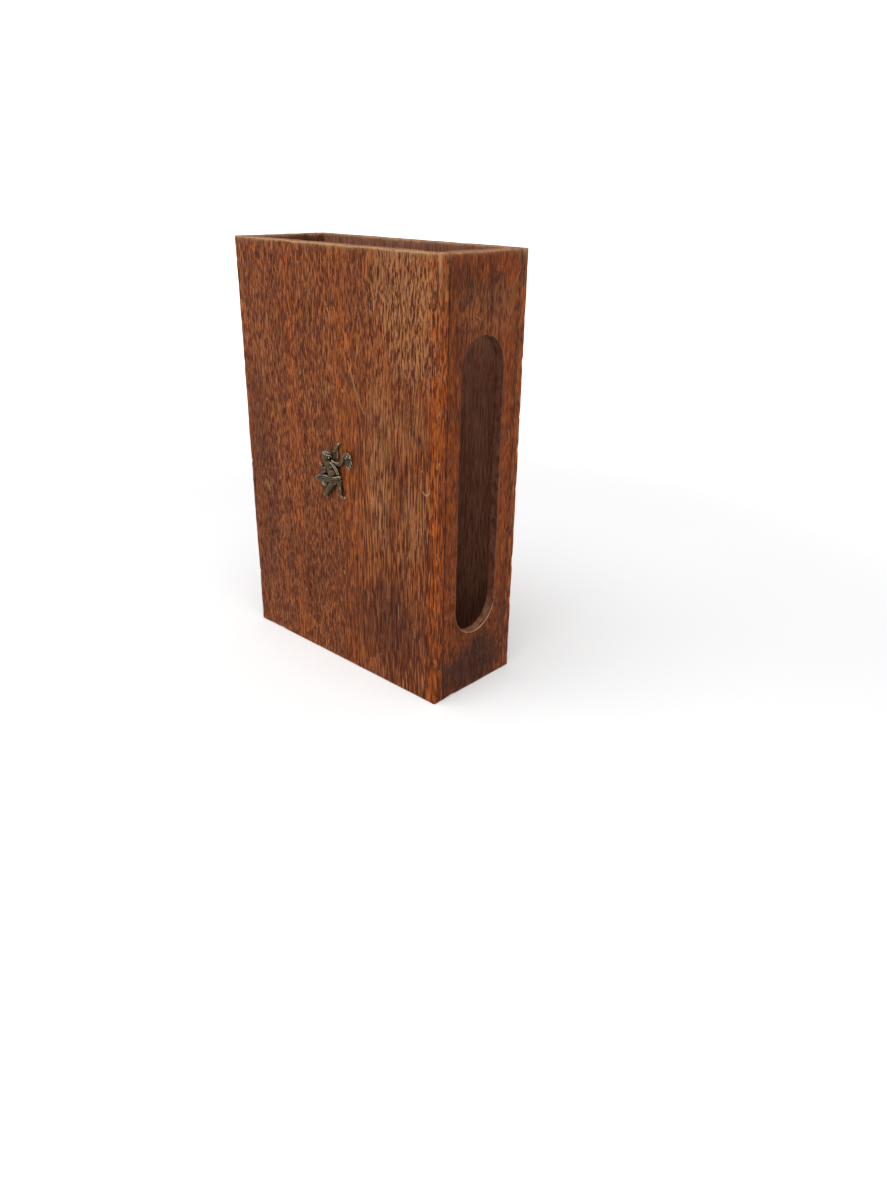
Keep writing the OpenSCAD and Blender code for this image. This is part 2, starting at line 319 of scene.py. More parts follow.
def grainPatterns(tree, look, shift):
    # What the wood's colour, roughness and bumps are made from
    plain, grain = grainCoordinates(tree, look["axes"], shift)
    parts = addNode(tree, "ShaderNodeSeparateXYZ", {0: plain}).outputs
    across, length = parts[0], parts[2]
    bands = noiseOf(tree, stretched(tree, grain, grainLook["bands"]))
    clouds = noiseOf(tree, stretched(tree, plain, grainLook["clouds"], shift), 4.0, 0.6)
    patchy = noiseOf(tree, stretched(tree, plain, grainLook["patches"]), 4.0, 0.65)
    raggedness = grainLook["raggedness"]
    ragged = calc(tree, "MULTIPLY_ADD", patchy, raggedness, -raggedness / 2)
    drift = times(tree, aboutMiddle(tree, clouds), grainLook["poreDrift"])
    coarse = fade(tree, calc(tree, "ADD", across, drift), *look["longPores"])
    below = fade(tree, calc(tree, "ADD", length, drift), *look["longPoresTop"], start=1.0, end=0.0)
    coarse = times(tree, coarse, below)
    shortFibres = noiseSum(tree, grain, grainLook["shortFibres"])
    longFibres = noiseSum(tree, grain, grainLook["longFibres"])
    fibres = addNode(tree, "ShaderNodeMix", {0: coarse, 2: shortFibres, 3: longFibres}).outputs[0]
    streaks = noiseSum(tree, grain, grainLook["streaks"])
    tone = aboutMiddle(tree, streaks)
    tone = calc(tree, "ADD", tone, times(tree, aboutMiddle(tree, clouds), 0.5))
    contrasty = calc(tree, "MULTIPLY_ADD", aboutMiddle(tree, fibres), look["contrast"], 0.5)
    tone = calc(tree, "ADD", tone, contrasty)
    return {"plain": plain, "grain": grain, "shift": shift, "place": (across, length, ragged), "bands": bands,
            "clouds": clouds, "patchy": patchy, "coarse": coarse, "fibres": fibres, "tone": tone}


def stainColour(tree, look, pattern, marks):
    tone, clouds = pattern["tone"], pattern["clouds"]
    colour = mixColour(tree, fade(tree, tone, 0.1, 0.52), look["dark"], look["middle"])
    colour = mixColour(tree, fade(tree, tone, 0.5, 0.95), colour, look["light"])

    # Redder heartwood and plum-brown clouds, which keep the tone of the fibres. One warm band is a painted
    # reflection along the front board's upright corner, and one plum spot is painted shadow.
    heartAndReflection = times(tree, fade(tree, pattern["bands"], 0.5, 0.7), 0.35)
    for centre, halfWidth, strength in marks.get("bands", ()):
        aside = calc(tree, "ABSOLUTE", calc(tree, "SUBTRACT", pattern["place"][0], centre))
        heartAndReflection = strongest(tree, heartAndReflection, times(tree, fade(tree, aside, halfWidth, halfWidth * 0.3), strength))
    warm = mixColour(tree, fade(tree, tone, 0.1, 0.9), look["dark"], look["orange"])
    colour = mixColour(tree, without(tree, heartAndReflection, fade(tree, clouds, 0.55, 0.75)), colour, warm)
    plumAndShadow = strongest(tree, times(tree, fade(tree, clouds, 0.53, 0.68), 0.5),
                     spots(tree, *pattern["place"], marks.get("plumAndShadow", ())))
    plumAndShadowTone = mixColour(tree, fade(tree, tone, 0.2, 0.8), look["pore"], look["plumAndShadow"])
    colour = mixColour(tree, plumAndShadow, colour, plumAndShadowTone)

    # A pale haze lies on the ridges, so the pores show through it
    haze = spots(tree, *pattern["place"], marks.get("haze", ()))
    haze = times(tree, haze, fade(tree, tone, 0.3, 0.62))
    return mixColour(tree, haze, colour, look["haze"]), heartAndReflection, haze


def openPores(tree, pattern):
    made = []
    for kind in ("shortPores", "longPores"):
        size, shift, _ = grainLook[kind]
        made.append(noiseOf(tree, stretched(tree, pattern["grain"], size, shift), 1.0))
    short, long = (fade(tree, value, *grainLook[kind][2])
                   for value, kind in zip(made, ("shortPores", "longPores")))
    return addNode(tree, "ShaderNodeMix", {0: pattern["coarse"], 2: short, 3: long}).outputs[0]


def addMarks(tree, colour, pattern, marks):
    # Stains and scratches, and pale specks of dust and paint. Some stains and dark scratches are painted
    # shadow and shade.
    place = pattern["place"]
    stainAndShade = spots(tree, *place, marks.get("stainsAndShadow", ()))
    stainAndShade = calc(tree, "MAXIMUM", scratches(tree, *place, marks.get("darkScratchesAndShade", ())), stainAndShade)
    colour = mixColour(tree, stainAndShade, colour, markColours["stainAndShade"])
    pale = scratches(tree, *place, marks.get("paleScratches", ()))
    colour = mixColour(tree, pale, colour, markColours["paleScratch"])
    size, radii = grainLook["flecks"]
    cells = addNode(tree, "ShaderNodeTexVoronoi",
                    {"Vector": stretched(tree, pattern["plain"], size, pattern["shift"]), "Scale": 1.0},
                    feature="F1")
    fleck = times(tree, fade(tree, cells.outputs["Distance"], *radii), marks.get("flecks", 0.0))
    return mixColour(tree, fleck, colour, markColours["fleck"])


def addBareWood(tree, colour, look, pattern, pores):
    # Bare wood inside the well, and the sawn wall of the slot
    inside = attributeOf(tree, "inside")
    bare = mixColour(tree, fade(tree, pattern["tone"], -0.4, 1.4), look["insideDark"], look["inside"])
    bare = mixColour(tree, times(tree, pores, 0.3), bare, look["pore"])
    colour = mixColour(tree, inside, colour, bare)
    wall = attributeOf(tree, "wall")
    sawn = mixColour(tree, fade(tree, pattern["patchy"], 0.35, 0.65), markColours["sawnDark"],
                     markColours["sawnLight"])
    return mixColour(tree, wall, colour, sawn), inside


def addWearDirtAndPaintedLight(tree, colour, look, pattern, pores):
    # Rubbed edges, with a painted highlight on the slot's lower lip, a bloom below the rim, and dirt with
    # painted shade in the glued joints
    patchy = pattern["patchy"]
    bloom = times(tree, attributeOf(tree, "bloom"), fade(tree, patchy, 0.3, 0.6, 0.3, 1.0))
    colour = mixColour(tree, bloom, colour, markColours["bloom"])
    rubbedAndHighlight = times(tree, attributeOf(tree, "wearAndHighlight"), fade(tree, patchy, 0.32, 0.56, 0.35, 1.0))
    rubbedAndHighlight = without(tree, rubbedAndHighlight, times(tree, pores, 0.5))
    colour = mixColour(tree, rubbedAndHighlight, colour, look["wornAndHighlight"])
    # Dirt and painted shade darken the joints
    dirtAndShade = times(tree, attributeOf(tree, "joint"), fade(tree, patchy, 0.35, 0.6, 0.25, 1.0))
    return mixColour(tree, dirtAndShade, colour, markColours["dirtAndShade"]), rubbedAndHighlight


def stainedWood(name, look, shift, marks=None):
    marks = marks or {}
    material, tree, shader = newMaterial(name)
    pattern = grainPatterns(tree, look, shift)
    colour, heartAndReflection, haze = stainColour(tree, look, pattern, marks)
    pores = openPores(tree, pattern)
    dark = without(tree, times(tree, pores, look["poreAmount"]), times(tree, heartAndReflection, 0.6))
    colour = mixColour(tree, dark, colour, look["pore"])
    colour = addMarks(tree, colour, pattern, marks)
    colour, inside = addBareWood(tree, colour, look, pattern, pores)
    colour, rubbedAndHighlight = addWearDirtAndPaintedLight(tree, colour, look, pattern, pores)
    tree.links.new(colour, shader.inputs["Base Color"])
    rough = fade(tree, pattern["clouds"], 0.3, 0.7, look["roughness"] - 0.06, look["roughness"] + 0.06)
    rough = calc(tree, "MULTIPLY_ADD", strongest(tree, pores, rubbedAndHighlight, haze, inside), 0.2, rough)
    tree.links.new(rough, shader.inputs["Roughness"])
    height = calc(tree, "SUBTRACT", times(tree, pattern["fibres"], 0.6), pores)
    bump = addNode(tree, "ShaderNodeBump", {"Height": height, "Strength": grainLook["bumpStrength"],
                                            "Distance": grainLook["bumpDepth"] * mm})
    tree.links.new(bump.outputs[0], shader.inputs["Normal"])
    shader.inputs["Specular IOR Level"].default_value = grainLook["shine"]
    return material


# Board making

fineSteps = (0.0, 0.12, 0.28, 0.48, 0.72, 1.0, 1.4, 2.0)  # mm in from an edge, where it rounds over
axisOf = {"x": 0, "y": 1, "z": 2}


def spread(low, high, step):
    near = [s for s in fineSteps if s < (high - low) / 2 - 0.1]
    count = max(2, round((high - low - 2 * near[-1]) / step) + 1)
    inner = np.linspace(low + near[-1], high - near[-1], count)
    return [low + s for s in near[:-1]] + list(inner) + [high - s for s in reversed(near[:-1])]


def boxShell(xs, ys, zs):
    index, points, quads = {}, [], []

    def at(*key):
        if key not in index:
            index[key] = len(points)
            points.append((xs[key[0]], ys[key[1]], zs[key[2]]))
        return index[key]

    last = (len(xs) - 1, len(ys) - 1, len(zs) - 1)
    for axis in range(3):
        u, v = (axis + 1) % 3, (axis + 2) % 3
        for side in (0, last[axis]):
            for i in range(last[u]):
                for j in range(last[v]):
                    corners = []
                    for a, b in ((0, 0), (1, 0), (1, 1), (0, 1)):
                        key = [0, 0, 0]
                        key[axis], key[u], key[v] = side, i + a, j + b
                        corners.append(at(*key))
                    quads.append(corners if side else corners[::-1])
    return np.array(points), quads


def inwardFrom(points, low, high, face):
    # How far each point lies in from one face of the board, such as "x+"
    axis = axisOf[face[0]]
    return high[axis] - points[:, axis] if face[1] == "+" else points[:, axis] - low[axis]


def moveInward(points, face, amount):
    points[:, axisOf[face[0]]] += amount * (-1 if face[1] == "+" else 1)


def slowNoise(points, size, seed):
    # From about -1 to 1 at each point
    shift = Vector((seed * 7.3, seed * 3.1, seed * 5.7))
    return np.array([noise.noise(Vector(p) / size + shift) for p in points])


def edgeOf(firstFace, secondFace, radius, rub=0.0, reach=0.45, topRub=0.0, bloom=0.0, dirtAndShade=0.0, nicks=0):
    return {"faces": (firstFace, secondFace), "radius": radius, "rub": rub, "reach": reach, "topRub": topRub,
            "bloom": bloom, "dirtAndShade": dirtAndShade, "nicks": nicks}


handWork = {  # mm, where nothing else is said
    "waver": ((9.0, 0.6), (2.6, 0.6)),  # size and strength of what makes the edges' wear uneven
    "rubFade": 5.5,  # down from the rim, over which an upright edge is rubbed harder
    "reachFade": 3.5,
    "topReach": 0.7,  # for each unit of topRub
    "reachWaver": 0.6,
    "radiusWaver": 0.4,
    "bloomReach": (1.3, 0.8),  # and how much of it wavers
    "dirtAndShadeReach": (0.3, 0.15),
    "knockHalfLength": (0.3, 1.3),
    "knockDepth": (0.05, 0.2),
    "knockWear": 2.5,  # for each mm of depth
    "waves": ((17.0, 0.04), (5.0, 0.01)),  # size and depth of the faces' unevenness
    "rimWaves": 1.6,  # times as deep on the rim
}


def addPiece(name, points, quads, values, material):
    # Points are in mm, and each row of values has one for each point
    data = bpy.data.meshes.new(name)
    data.from_pydata((points * mm).tolist(), [], np.asarray(quads).tolist())
    for key, value in values.items():
        data.attributes.new(key, "FLOAT", "POINT").data.foreach_set("value", np.asarray(value, np.float32))
    data.polygons.foreach_set("use_smooth", [True] * len(data.polygons))
    data.materials.append(material)
    data.update()
    piece = bpy.data.objects.new(name, data)
    bpy.context.scene.collection.objects.link(piece)
    return piece


def fading(distance, over):
    return np.exp(-(distance / over) ** 2)


def layeredNoise(points, layers, seed):
    return sum(slowNoise(points, size, seed + i) * strength for i, (size, strength) in enumerate(layers))


def roundEdge(points, low, high, edge, radius):
    a, b = (inwardFrom(points, low, high, face) for face in edge["faces"])
    length = np.maximum(np.hypot(radius - a, radius - b), 1e-6)
    hit = (a < radius) & (b < radius) & (length > radius)
    for face, was in zip(edge["faces"], (a, b)):
        moveInward(points, face, np.where(hit, radius - (radius - was) * radius / length - was, 0.0))


def knockEdge(points, straight, away, low, high, edge, wearAndHighlight, dice):
    runs = 3 - sum(axisOf[face[0]] for face in edge["faces"])
    for _ in range(edge["nicks"]):
        place = dice.uniform(low[runs], high[runs])
        half, depth = dice.uniform(*handWork["knockHalfLength"]), dice.uniform(*handWork["knockDepth"])
        hit = fading(straight[:, runs] - place, half) * fading(away, 0.4 + 2 * depth)
        for face in edge["faces"]:
            moveInward(points, face, hit * depth)
        wearAndHighlight = np.maximum(wearAndHighlight, handWork["knockWear"] * depth * hit)
    return wearAndHighlight


def makeBoard(name, node, low, high, shell, edges, material, seed, extra):
    points, quads = shell
    straight = points.copy()
    values = {key: np.zeros(len(points)) for key in ("wearAndHighlight", "bloom", "joint", "inside", "wall")}
    values.update(extra(straight))
    waver = layeredNoise(straight, handWork["waver"], seed)
    fromTop = high[2] - straight[:, 2]
    for number, edge in enumerate(edges):
        away = np.hypot(*(inwardFrom(straight, low, high, face) for face in edge["faces"]))
        rub = edge["rub"] + edge["topRub"] * fading(fromTop, handWork["rubFade"])
        reach = edge["reach"] + edge["topRub"] * handWork["topReach"] * fading(fromTop, handWork["reachFade"])
        reach = reach * (1 + handWork["reachWaver"] * waver)
        bloomReach, dirtAndShadeReach = (handWork[key][0] + handWork[key][1] * waver
                                 for key in ("bloomReach", "dirtAndShadeReach"))
        values["wearAndHighlight"] = np.maximum(values["wearAndHighlight"], rub * fading(away, reach))
        values["bloom"] = np.maximum(values["bloom"], edge["bloom"] * fading(away, bloomReach))
        values["joint"] = np.maximum(values["joint"], edge["dirtAndShade"] * fading(away, dirtAndShadeReach))
        roundEdge(points, low, high, edge, edge["radius"] * (1 + handWork["radiusWaver"] * waver))
        dice = random.Random(seed * 100 + number)
        values["wearAndHighlight"] = knockEdge(points, straight, away, low, high, edge, values["wearAndHighlight"], dice)
    # Planed by hand, so the faces are never quite flat
    middle = (np.array(low) + np.array(high)) / 2
    half = (np.array(high) - np.array(low)) / 2
    outward = (straight - middle) / half
    outward = np.where(np.abs(outward) > 0.999, np.sign(outward), 0.0)
    outward[:, 2] = np.maximum(outward[:, 2], 0.0)  # flat where it stands
    uneven = layeredNoise(straight, handWork["waves"], seed + 2)
    points += outward * uneven[:, None] * (1.0, 1.0, handWork["rimWaves"])
    piece = addPiece(name, points, quads, values, material)
    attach(piece, "root")
    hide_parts(node)


def nodeBox(node):
    low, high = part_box(node)
    return tuple(v / mm for v in low), tuple(v / mm for v in high)


edgeLook = {
    "corner": 0.8,  # radius of the upright outer corners, mm
    "rim": 0.6,
    "wellEdge": 0.3,
    "foot": 0.4,
    "joint": 0.12,
    "alongStep": 0.8,  # mm between loops along a board
    "acrossStep": 2.0,
    "throughStep": 0.6,
    "insideDepth": 0.25,  # mm that bare wood reaches round an inner edge
}


def insideValues(low, high, insideFace):
    def values(straight):
        depth = inwardFrom(straight, low, high, insideFace)
        return {"inside": np.clip(1 - depth / edgeLook["insideDepth"], 0, 1)}
    return values


def makeWideBoard(name, node, outer, inner, marks, shift, seed):
    low, high = nodeBox(node)
    shell = boxShell(*(spread(low[i], high[i], edgeLook[step])
                       for i, step in enumerate(("acrossStep", "throughStep", "alongStep"))))
    edges = [
        edgeOf("x-", outer, edgeLook["corner"], rub=0.12, topRub=0.4, nicks=5),
        edgeOf("x+", outer, edgeLook["corner"], rub=0.12, topRub=0.8, nicks=12),
        *(edgeOf(side, inner, edgeLook["joint"], dirtAndShade=0.8) for side in ("x-", "x+")),
        edgeOf(outer, "z+", edgeLook["rim"], rub=1.1, reach=0.45, bloom=0.3, nicks=14),
        edgeOf(inner, "z+", edgeLook["wellEdge"], rub=0.9, reach=0.5, nicks=10),
        *(edgeOf(side, "z+", edgeLook["rim"], rub=0.9, reach=0.8, bloom=0.4) for side in ("x-", "x+")),
        edgeOf(outer, "z-", edgeLook["foot"], rub=0.3, nicks=4),
        *(edgeOf(side, "z-", edgeLook["foot"], rub=0.4) for side in ("x-", "x+")),
    ]
    material = stainedWood(name + "Wood", woodLook["wide"], shift, marks)
    makeBoard(name, node, low, high, shell, edges, material, seed,
              insideValues(low, high, inner))


def makeNarrowBoard(name, node, outer, inner, marks, shift, seed, shell=None, extra=None):
    low, high = nodeBox(node)
    if shell is None:
        shell = boxShell(*(spread(low[i], high[i], edgeLook[step])
                           for i, step in enumerate(("throughStep", "acrossStep", "alongStep"))))
    edges = [
        edgeOf(outer, "y-", edgeLook["joint"], dirtAndShade=0.9),
        edgeOf(outer, "y+", edgeLook["joint"], dirtAndShade=0.7),
        edgeOf(outer, "z+", edgeLook["rim"], rub=1.0, reach=0.5, bloom=0.3, nicks=7),
        edgeOf(inner, "z+", edgeLook["wellEdge"], rub=0.9, reach=0.5, nicks=5),
        edgeOf(outer, "z-", edgeLook["foot"], rub=0.3, nicks=3),
    ]
    material = stainedWood(name + "Wood", woodLook["narrow"], shift, marks)
    makeBoard(name, node, low, high, shell, edges, material, seed,
              extra or insideValues(low, high, inner))


# The slot's sizes, as the slotted side has them
slotLook = {
    "width": 15.5,
    "bottom": 16.7,
    "top": 94.3,
    "outerEdge": 0.35,
    "innerEdge": 0.2,
    # The slot's lip and wall take wear, and a painted highlight where they face up
    "lowerLipWearAndHighlight": 1.1,
    "otherLipWear": 0.2,
    "wallWearAndHighlight": 0.4,
    "endRays": 37,  # round each end
    "sideRays": 79,
    "wallRings": 6,
    "nearWall": (0.5, 0.85, 1.3),  # mm, where the rings lie on the faces and round the board's edge
    "nearOutline": (2.0, 1.4, 1.0, 0.72, 0.48, 0.28, 0.12),
    "roundEdge": (0.12, 0.28, 0.48, 0.8),
    "midEdge": 1.4,
}


def slottedShell(low, high):
    # Rings that run out from the slot over the face, round the board's edge and back inside
    radius = slotLook["width"] / 2
    ends = (slotLook["bottom"] + radius, slotLook["top"] - radius)
    rays = []  # place along the slot, and the way out from it
    corner = math.atan2(high[2] - ends[1], high[1])
    upper = np.linspace(0, math.pi, slotLook["endRays"])
    rays += [(ends[1], a) for a in sorted({*upper, corner, math.pi - corner})]
    heights = np.linspace(ends[1], ends[0], slotLook["sideRays"])[1:-1]
    rays += [(z, math.pi) for z in heights]
    corner = math.atan2(ends[0] - low[2], high[1])
    lower = np.linspace(-math.pi, 0, slotLook["endRays"])
    rays += [(ends[0], a) for a in sorted({*lower, -corner, corner - math.pi})]
    rays += [(z, 0.0) for z in heights[::-1]]

    points, wall, lipWearAndHighlight = [], [], []
    outerX, innerX = high[0], low[0]

    def reach(centre, dy, dz):
        # How far the board's outline lies along a ray
        limits = [high[1] / max(abs(dy), 1e-9)]
        if abs(dz) > 1e-9:
            limits.append(((high[2] if dz > 0 else low[2]) - centre) / dz)
        return min(limits)

    def ring(x, offset=None, inset=None, sawn=0.0, lip=0.0):
        # At a distance from the slot's wall, or at one in from the board's outline
        for centre, angle in rays:
            dy, dz = math.cos(angle), math.sin(angle)
            distance = radius + offset if inset is None else reach(centre, dy, dz) * (1 - inset / high[1])
            points.append((x, dy * distance, centre + dz * distance))
            wall.append(sawn)
            # Painted highlight: paler where the lip and wall face up, on top of the wear
            facesUp = max(0.0, -dz) ** 0.5
            lipWearAndHighlight.append(lip * (slotLook["otherLipWear"] + slotLook["lowerLipWearAndHighlight"] * facesUp))

    wallEnds = (innerX + slotLook["innerEdge"], outerX - slotLook["outerEdge"])
    for x in np.linspace(*wallEnds, slotLook["wallRings"])[1:-1]:
        ring(x, offset=0.0, sawn=1.0, lip=slotLook["wallWearAndHighlight"])
    size = slotLook["outerEdge"]
    for turn in np.linspace(0, math.pi / 2, 5):
        ring(outerX - size * (1 - math.sin(turn)), offset=size * (1 - math.cos(turn)),
             sawn=math.cos(turn) ** 2, lip=math.sin(turn * 2))
    for offset in slotLook["nearWall"]:
        ring(outerX, offset=offset)
    for inset in (*slotLook["nearOutline"], 0.0):
        ring(outerX, inset=inset)
    depth = outerX - innerX
    steps = slotLook["roundEdge"]
    for x in (*steps, slotLook["midEdge"], *(depth - x for x in reversed(steps)), depth):
        ring(outerX - x, inset=0.0)
    for inset in reversed(slotLook["nearOutline"]):
        ring(innerX, inset=inset)
    for offset in reversed(slotLook["nearWall"]):
        ring(innerX, offset=offset)
    size = slotLook["innerEdge"]
    for turn in np.linspace(math.pi / 2, 0, 4):
        ring(innerX + size * (1 - math.sin(turn)), offset=size * (1 - math.cos(turn)),
             sawn=math.cos(turn) ** 2)

    count, rings = len(rays), len(points) // len(rays)
    quads = []
    for r in range(rings):
        after = (r + 1) % rings
        for i in range(count):
            j = (i + 1) % count
            quads.append((r * count + i, r * count + j, after * count + j, after * count + i))
    values = {"wall": np.array(wall), "wearAndHighlight": np.array(lipWearAndHighlight)}
    return (np.array(points), quads), values


def makeSlottedSide(marks):
    low, high = nodeBox("slotted_side")
    shell, ringValues = slottedShell(low, high)

    def values(straight):
        return {**insideValues(low, high, "x-")(straight), **ringValues}

    makeNarrowBoard("slottedSide", "slotted_side", "x+", "x-", marks, (57, 130, 31), 3, shell, values)


# Spots are given as place across, place along, half width, half length and strength, in mm. Scratches are
# given as the two ends, each across and along, then half width and strength.
frontMarks = {
    # The band at 36.8 mm across is a painted warm reflection along the upright corner
    "bands": [(-16.0, 3.4, 0.4), (36.8, 3.0, 1.0)],  # place across, half width, strength
    "haze": [
        (26, 104, 13, 13, 0.62), (29, 90, 9, 9, 0.6), (17.5, 62, 5, 26, 0.55), (28, 74, 7, 9, 0.3),
        (30, 50, 6, 13, 0.4), (-12, 80, 2.2, 2.2, 0.45), (-2, 78, 2.5, 2.5, 0.4), (-29, 46, 2.5, 2.0, 0.4)],
    "plumAndShadow": [
        (20, 18, 17, 14, 0.6), (8, 103, 6, 9, 0.3), (-33, 46, 8, 44, 0.5), (-14, 24, 12, 15, 0.35),
        (6, 33, 8, 8, 0.25)],
    "stainsAndShadow": [(8, 34, 0.9, 1.3, 0.75)],
    "paleScratches": [
        (6.6, 86, 9.2, 79, 0.4, 0.45), (9.2, 79, 12, 74, 0.35, 0.4), (32.4, 58.4, 33.6, 57.6, 0.25, 0.8),
        (33.6, 57.6, 34.6, 58.2, 0.25, 0.8), (34.6, 58.2, 34.8, 59.2, 0.22, 0.7),
        (-0.6, 98, -0.4, 97.4, 0.3, 0.8), (4, 78.8, 4.2, 78.2, 0.3, 0.8), (-3, 32.6, -2.8, 31.8, 0.25, 0.7),
        (2.6, 28.4, 2.9, 27.6, 0.25, 0.7), (24, 25, 24.2, 21, 0.22, 0.5), (30, 20, 30.1, 17.4, 0.22, 0.5),
        (-17.5, 101, -17.3, 100, 0.25, 0.5)],
    "darkScratchesAndShade": [
        (36.6, 111, 36.7, 86, 0.35, 0.5), (14.2, 108, 14.5, 96, 0.3, 0.45), (-30, 89, -29.4, 88, 0.5, 0.5),
        (20.4, 73, 20.2, 60, 0.28, 0.4), (8.6, 44, 8.4, 33, 0.28, 0.45)],
    "flecks": 0.8,
}
sideMarks = {
    "haze": [(2, 100, 13, 8, 0.3)],
    # The plum spot across the foot of the side, 7 mm up, is painted shadow
    "plumAndShadow": [
        (-7, 106, 6, 6, 0.6), (3, 104, 6, 5, 0.5), (-9, 93, 3, 6, 0.5), (0, 7, 15, 9, 1.0),
        (12, 20, 5, 10, 0.5)],
    # This stain at the front of the foot is painted shadow
    "stainsAndShadow": [(-12, 4, 2.5, 8, 0.5)],
    "darkScratchesAndShade": [
        # The first dark scratch, down the joint with the front board, is painted shade
        (-12.6, 108, -12.9, 86, 0.35, 0.6), (-8.5, 100.5, -4.8, 103.2, 0.4, 0.5),
        (-9.5, 96, -6.6, 98.6, 0.35, 0.45), (9.4, 97.4, 13, 101.2, 0.3, 0.5),
        (10.4, 94.6, 13.6, 98, 0.3, 0.45), (2.2, 108.6, 6.4, 107.4, 0.35, 0.4),
        (-13, 62, -11, 64.2, 0.35, 0.45), (11, 52, 12.4, 49.6, 0.3, 0.4),
        (-11.4, 44, -10.2, 40.5, 0.3, 0.4)],
    "paleScratches": [
        (9.6, 104.2, 13.4, 109.6, 0.2, 0.4), (-3.5, 99, -1.2, 97.8, 0.2, 0.4),
        (10.6, 70, 11.4, 67, 0.2, 0.35), (12.2, 88, 13.2, 84.5, 0.2, 0.35)],
    "flecks": 0.4,
}
# Its band at 36.8 mm across is the same painted warm reflection as on the front board
backMarks = {"bands": [(36.8, 3.0, 0.6)], "flecks": 0.5}

makeWideBoard("frontBoard", "front_panel", "y-", "y+", frontMarks, (0, 0, 0), 1)
makeWideBoard("backBoard", "back_panel", "y+", "y-", backMarks, (211, 40, 95), 2)
makeSlottedSide(sideMarks)
makeNarrowBoard("plainSide", "plain_side", "x-", "x+", {"flecks": 0.4}, (88, 17, 207), 4)
print("walls made")


def makeBase():
    low, high = nodeBox("base_panel")
    shell = boxShell(spread(low[0], high[0], 1.5), spread(low[1], high[1], 1.5), spread(low[2], high[2], 0.6))
    edges = [edgeOf(face, "z-", 0.2, dirtAndShade=0.8) for face in ("x-", "x+", "y-", "y+")]
    material = stainedWood("baseWood", woodLook["base"], (31, 66, 12))
    makeBoard("baseBoard", "base_panel", low, high, shell, edges, material, 5,
              insideValues(low, high, "z+"))


makeBase()


# The cast child. It is worked out as distances from its surface on a fine grid, where soft forms run into
# each other as they do in a casting. There a place is right, up and out, in mm from the middle of the casting
# on the face of the board.

castGrid = {
    "low": (-7.4, -8.3, -0.08),  # it sinks this little way into the board
    "high": (9.4, 8.9, 3.0),
    "step": 0.075,
}
castMiddle = (0.0, 56.5)  # across and up the front board, mm
farAway = 9.0
cubeCorners = [(i, j, k) for i in (0, 1) for j in (0, 1) for k in (0, 1)]

# The child was drawn on an enlarged part of the photograph. On that sketch a place is across, down and
# how far out in mm, and is mostly followed by a radius in mm.
castSketch = {
    "corner": (308, 434),  # upper left corner of the enlarged part, in pixels of the photograph
    "enlarged": 18,
    "middle": (443.5, 591.0),  # of the photograph
    "focal": 888.24,  # pixels
    "azimuth": 42.1804,  # the camera as in cameraSetup, a little more exactly
    "elevation": 24.7433,
    "roll": 1.061,
    "place": (174.718, -164.338, 126.764),
}
sketchAxes = cameraAxes(castSketch)
frontFace = nodeBox("front_panel")[0][1]


def castPlace(across, down, out, *radius):
    # From the sketch to the casting, along the camera's line of sight and to a hundredth of a mm
    right, up, back = sketchAxes
    spot = [castSketch["corner"][i] + v / castSketch["enlarged"] - castSketch["middle"][i]
            for i, v in enumerate((across, down))]
    ray = right * spot[0] - up * spot[1] - back * castSketch["focal"]
    start = castSketch["place"]
    gone = (frontFace - out - start[1]) / ray[1]
    there = [start[i] + gone * ray[i] for i in (0, 2)]
    return (round(there[0] - castMiddle[0], 2), round(there[1] - castMiddle[1], 2), out, *radius)


def stroke(*places):
    return [castPlace(*place) for place in places]


def castEgg(across, down, out, radii, turn):
    return castPlace(across, down, out), radii, turn


castHead = (castPlace(345, 380, 1.2), 1.3)  # middle and radius
castBunch = castPlace(300, 862, 1.0)  # middle of the rolled-up corner of the cloth

